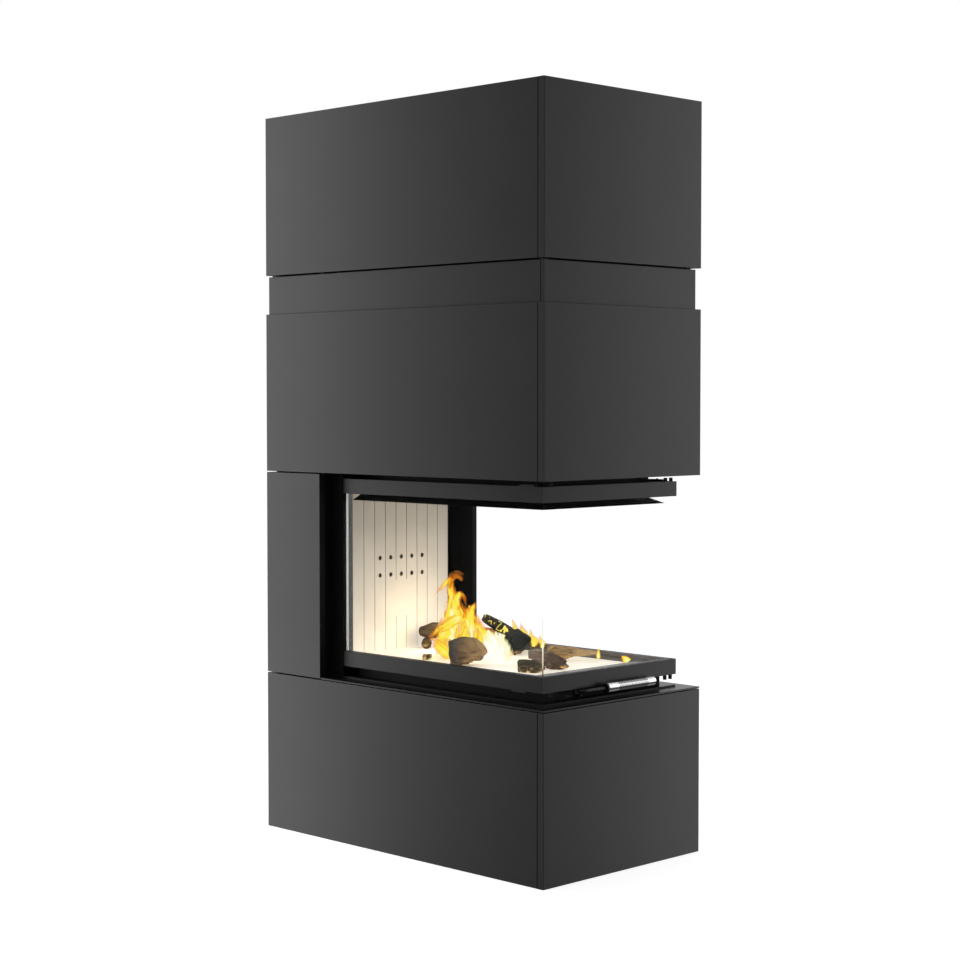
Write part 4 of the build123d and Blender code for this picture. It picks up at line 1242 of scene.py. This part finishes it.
@dataclass
class Fire:
    """The flames over the logs, as thin sheets that cross each other."""

    columns: int = 8
    rows: int = 30
    bed: float = 0.468
    turn: float = 45.0
    unit: float = 0.01
    streak_width: float = 0.011
    streak_length: float = 0.052
    ribbons: tuple[Ribbon, ...] = (
        Ribbon(-5, 0.00, ((-5.5, 0, 8.4), (-5.5, 5.7, 8.0), (-5.3, 10.5, 6.6), (-5.8, 14.0, 3.4))),
        Ribbon(-4, 0.20, ((-6.2, 10, 4.0), (-6.4, 14, 3.0), (-6.5, 17, 1.9), (-6.5, 19.2, 0.9))),
        Ribbon(
            -3,
            0.70,
            (
                (-6.5, 15.6, 2.4),
                (-6.9, 18.2, 2.4),
                (-6.5, 20.0, 3.0),
                (-5.3, 20.9, 3.4),
                (-4.2, 20.2, 3.2),
                (-3.6, 18.8, 2.4),
                (-3.4, 17.2, 1.4),
            ),
        ),
        Ribbon(-2, 0.47, ((-5.8, 12, 2.4), (-5.2, 15, 2.6), (-4.3, 16, 2.4), (-3.2, 15, 2.2), (-2.6, 12.6, 1.4))),
        Ribbon(-3, 0.05, ((-2.0, 0, 7.8), (-1.8, 6, 6.4), (-1.8, 10, 4.6), (-1.4, 13, 2.0))),
        Ribbon(-2, 0.42, ((-2.0, 9.5, 3.8), (-1.4, 11.8, 2.8), (-0.6, 13.4, 1.6), (0.2, 14.3, 0.6))),
        Ribbon(0, 0.10, ((1.2, 0, 6.8), (1.4, 4.0, 5.4), (0.8, 7.6, 3.4), (-0.2, 10.4, 1.4))),
        Ribbon(1, 0.32, ((-5.0, 10, 2.6), (-7.8, 8.6, 2.8), (-10.2, 6.8, 2.4), (-12.5, 5.2, 1.0))),
        Ribbon(3, 0.34, ((-6.2, 1, 5.6), (-8.4, 3.0, 5.0), (-10.4, 4.4, 3.6), (-12.2, 5.2, 1.2))),
        Ribbon(-4, 0.58, ((-6.6, 20, 1.8), (-8.4, 18.4, 1.8), (-10.2, 16.6, 1.3), (-11.6, 15, 0.5))),
        Ribbon(-8, 0.34, ((2.4, 0, 5.4), (2.8, 2.8, 4.8), (2.8, 5.2, 3.4), (1.8, 7.8, 1.2))),
        Ribbon(2, 0.20, ((-4.0, 0, 6.0), (-3.6, 3.6, 4.6), (-2.8, 7.0, 2.6), (-3.2, 10, 0.8))),
        Ribbon(4, 0.30, ((-0.5, 0, 5.0), (0.0, 3.0, 4.0), (0.6, 5.6, 2.6), (0.2, 8.0, 0.8))),
        Ribbon(4.5, 0.05, ((30.9, 0.2, 0.8), (30.8, 1.0, 1.0), (30.9, 2.0, 0.8), (31.0, 2.8, 0.3))),
        Ribbon(10, 0.15, ((37.9, 0, 2.2), (37.5, 0.5, 2.2), (36.8, 1.0, 1.6), (36.2, 1.5, 0.6))),
        Ribbon(-14, 0.25, ((10.0, 3.6, 0.8), (10.4, 5.0, 1.6), (9.8, 6.6, 1.4), (9.2, 8.4, 0.4))),
        Ribbon(-15, 0.20, ((12.2, 2.0, 0.8), (12.8, 3.6, 2.0), (12.0, 5.2, 1.8), (11.4, 7.4, 0.4))),
        Ribbon(-15, 0.15, ((14.8, 0.8, 0.8), (15.2, 2.2, 2.2), (14.4, 3.6, 1.8), (14.0, 5.6, 0.4))),
        Ribbon(-14, 0.20, ((17.0, 0.6, 0.8), (17.4, 1.6, 1.6), (16.8, 2.6, 1.4), (16.6, 4.0, 0.4))),
    )
    white_ribbons: tuple[Ribbon, ...] = (
        Ribbon(6, -0.20, ((4.0, 0, 7.8), (4.0, 2.7, 7.0), (3.4, 5.2, 4.4), (2.8, 7.6, 1.0))),
        Ribbon(-2, -0.10, ((5.8, 0, 6.0), (5.8, 2.4, 5.2), (5.2, 4.6, 3.2), (4.8, 6.4, 0.8))),
        Ribbon(-10, -0.10, ((7.6, 0, 5.0), (7.6, 1.0, 4.6), (7.0, 3.0, 3.0), (6.6, 4.8, 0.8))),
        Ribbon(-6, 0.55, ((-8.4, 6.0, 5.0), (-8.8, 9.0, 5.0), (-8.4, 11.6, 3.4), (-8.0, 13.6, 1.0))),
        Ribbon(13, 0.20, ((-11.2, 0, 3.6), (-10.8, 1.0, 3.0), (-10.4, 2.0, 1.6), (-10.0, 2.8, 0.4))),
    )

    def build(self) -> None:
        """Raise the yellow flames and the white-hot ones as a piece each."""
        kinds = ("flames", self.ribbons, FLAME), ("white_flames", self.white_ribbons, WHITE_FLAME)
        for name, ribbons, finish in kinds:
            shape = bmesh.new()
            sheet_map = shape.loops.layers.uv.new("UVMap")
            flow = shape.verts.layers.float_vector.new(finish.flow)
            for number, ribbon in enumerate(ribbons):
                for crossed in (False, True):
                    self.raise_sheet(shape, sheet_map, flow, ribbon, number, crossed)
            for face in shape.faces:
                face.smooth = True
            mesh_piece(name, shape, finish, Body.STOVE.value)

    @staticmethod
    def station(spine: tuple[Point, ...], share: float) -> Vector:
        """The spine's sideways place, height and width at this share of its length."""
        spans = len(spine) - 1
        place = min(share * spans, spans - 1e-6)
        index = int(place)
        points = [Vector(spine[min(max(index + way, 0), spans)]) for way in (-1, 0, 1, 2)]
        t = place - index
        before, here, after, later = points
        return 0.5 * (
            2 * here
            + (after - before) * t
            + (2 * before - 5 * here + 4 * after - later) * t**2
            + (3 * here - before - 3 * after + later) * t**3
        )

    def raise_sheet(
        self,
        shape: bmesh.types.BMesh,
        sheet_map: bmesh.types.BMLayerItem,
        flow: bmesh.types.BMLayerItem,
        ribbon: Ribbon,
        number: int,
        crossed: bool,
    ) -> None:
        """Bend one upright grid into a licking flame.

        Args:
            shape: The mesh to add to.
            sheet_map: Its UV layer, across and up the sheet.
            flow: The layer for the streaks' coordinates and how much cooler the tongue burns.
            ribbon: The tongue's depth, heat and spine.
            number: Its place in the fire, which shifts its streaks.
            crossed: Whether this is the second, narrower sheet, square to the first.
        """
        made = bmesh.ops.create_grid(shape, x_segments=self.columns, y_segments=self.rows, size=0.5)
        verts = made["verts"]
        flat = {vert: (vert.co.x + 0.5, vert.co.y + 0.5) for vert in verts}
        for face in {face for vert in verts for face in vert.link_faces}:
            for loop in face.loops:
                loop[sheet_map].uv = flat[loop.vert]
        main = math.radians(self.turn)
        sideways = Vector((math.cos(main), math.sin(main), 0))
        nearer = Vector((math.sin(main), -math.cos(main), 0))
        places = [Vector(station[:2]) * self.unit for station in ribbon.spine]
        length = sum((after - before).length for before, after in zip(places, places[1:]))
        shift = 7.3 * number + (3.1 if crossed else 0.0)
        for vert in verts:
            u, v = flat[vert]
            place, height, width = self.station(ribbon.spine, v) * self.unit
            ahead = self.station(ribbon.spine, min(v + 0.02, 1.0)) - self.station(ribbon.spine, max(v - 0.02, 0.0))
            rise = sideways * ahead.x + UP * ahead.y
            across = nearer * 0.7 if crossed else rise.cross(nearer).normalized()
            foot = sideways * place + nearer * ribbon.depth * self.unit + UP * (self.bed + height)
            breadth = max(width, 0.002) * 1.25
            vert.co = foot + across * (u - 0.5) * breadth
            streaks = ((u - 0.5) * breadth / self.streak_width + shift, v * length / self.streak_length + shift)
            vert[flow] = (*streaks, ribbon.cool)


@dataclass
class Studio:
    """Floor, world, lamps and the camera at the photograph's angle."""

    lens: float = 75.125
    place: Point = (3.62504, -3.61582, 1.12956)
    pitch: float = -2.3129
    heading: float = 44.9896
    floor_half: float = 40.0

    def build(self) -> None:
        """Set up everything around the object."""
        self.floor()
        self.world()
        self.lamps()
        self.camera()
        bpy.context.scene.view_settings.view_transform = "Standard"

    @staticmethod
    def seen_directly(shader: Shader) -> bpy.types.NodeSocket:
        """A factor of 1 for rays that look at, mirror or look through to the backdrop."""
        path = shader.add("LightPath").outputs
        seen = shader.maths("ADD", path["Is Camera Ray"], path["Is Glossy Ray"])
        return shader.maths("ADD", seen, path["Is Transmission Ray"], clamp=True)

    def floor(self) -> None:
        """Lay a white floor that keeps the object's shadow."""
        shape = bmesh.new()
        bmesh.ops.create_grid(shape, x_segments=1, y_segments=1, size=self.floor_half)
        data = bpy.data.meshes.new("floor")
        shape.to_mesh(data)
        shape.free()
        floor = bpy.data.objects.new("floor", data)
        bpy.context.scene.collection.objects.link(floor)
        material, shader = new_material("white_floor")
        plain = shader.add("BsdfDiffuse", Color=rgba((0.80, 0.80, 0.80)))
        lift = shader.add("Emission", Color=rgba((1.0, 1.0, 1.0)))
        shader.feed(lift.inputs["Strength"], shader.maths("MULTIPLY", self.seen_directly(shader), 0.63))
        both = shader.add("AddShader")
        shader.feed(both.inputs[0], plain.outputs[0])
        shader.feed(both.inputs[1], lift.outputs[0])
        shader.add("OutputMaterial", Surface=both.outputs[0])
        data.materials.append(material)
        floor.visible_glossy = floor.visible_shadow = False

    def world(self) -> None:
        """Light softly from all round, with a white backdrop for direct looks."""
        world = bpy.data.worlds.new("soft_studio")
        bpy.context.scene.world = world
        world.use_nodes = True
        shader = Shader(world.node_tree)
        strength = shader.maths("MULTIPLY_ADD", self.seen_directly(shader), 0.5, 0.5)
        back = shader.add("Background", Color=rgba((1.0, 1.0, 1.0)), Strength=strength)
        shader.add("OutputWorld", Surface=back.outputs[0])

    def lamps(self) -> None:
        """Two soft boxes beside the object, one overhead and the fire's own light."""
        self.soft_box("left_box", (-2.00, -1.35, 0.93), (-0.50, -0.28, 0.93), (0.7, 3.6), 55.0)
        self.soft_box("right_box", (1.90, 2.30, 0.93), (0.50, 0.24, 0.93), (0.7, 3.6), 34.0)
        self.soft_box("top_box", (1.6, -1.9, 3.4), (0.0, 0.0, 0.9), (2.0, 2.0), 8.0)
        for number, (place, power) in enumerate((((-0.16, 0.03, 0.56), 0.60), ((0.10, 0.03, 0.60), 0.35))):
            data = bpy.data.lights.new(f"fire_light_{number}", "POINT")
            data.energy = power
            data.color = (1.0, 0.78, 0.52)
            data.shadow_soft_size = 0.05
            lamp = bpy.data.objects.new(data.name, data)
            lamp.location = place
            lamp.visible_camera = lamp.visible_glossy = lamp.visible_transmission = False
            bpy.context.scene.collection.objects.link(lamp)

    @staticmethod
    def soft_box(name: str, place: Point, aim: Point, size: tuple[float, float], power: float) -> None:
        """Hang one rectangular lamp.

        Args:
            name: The lamp's name.
            place: Where it hangs.
            aim: The point it faces.
            size: Its width and height in metres.
            power: Its power in watts.
        """
        data = bpy.data.lights.new(name, "AREA")
        data.shape = "RECTANGLE"
        data.size, data.size_y = size
        data.energy = power
        lamp = bpy.data.objects.new(name, data)
        lamp.location = place
        lamp.rotation_euler = (Vector(aim) - Vector(place)).to_track_quat("-Z", "Y").to_euler()
        lamp.visible_camera = lamp.visible_transmission = False
        bpy.context.scene.collection.objects.link(lamp)

    def camera(self) -> None:
        """Stand the camera where the photograph was taken from."""
        data = bpy.data.cameras.new("camera")
        data.lens = self.lens
        data.sensor_width = 36.0
        camera = bpy.data.objects.new("camera", data)
        camera.location = self.place
        camera.rotation_euler = (math.radians(90 + self.pitch), 0.0, math.radians(self.heading))
        bpy.context.scene.collection.objects.link(camera)
        bpy.context.scene.camera = camera


def main() -> None:
    """Build the object's parts in order, then the studio."""
    logging.basicConfig(level=logging.INFO, format="%(message)s")
    for assembly in (Casing(), Hearth(), LiftingDoor(), Handle(), LiftingGear(), LogPile(), Fire(), Studio()):
        assembly.build()
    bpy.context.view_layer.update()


if __name__ == "__main__":
    main()
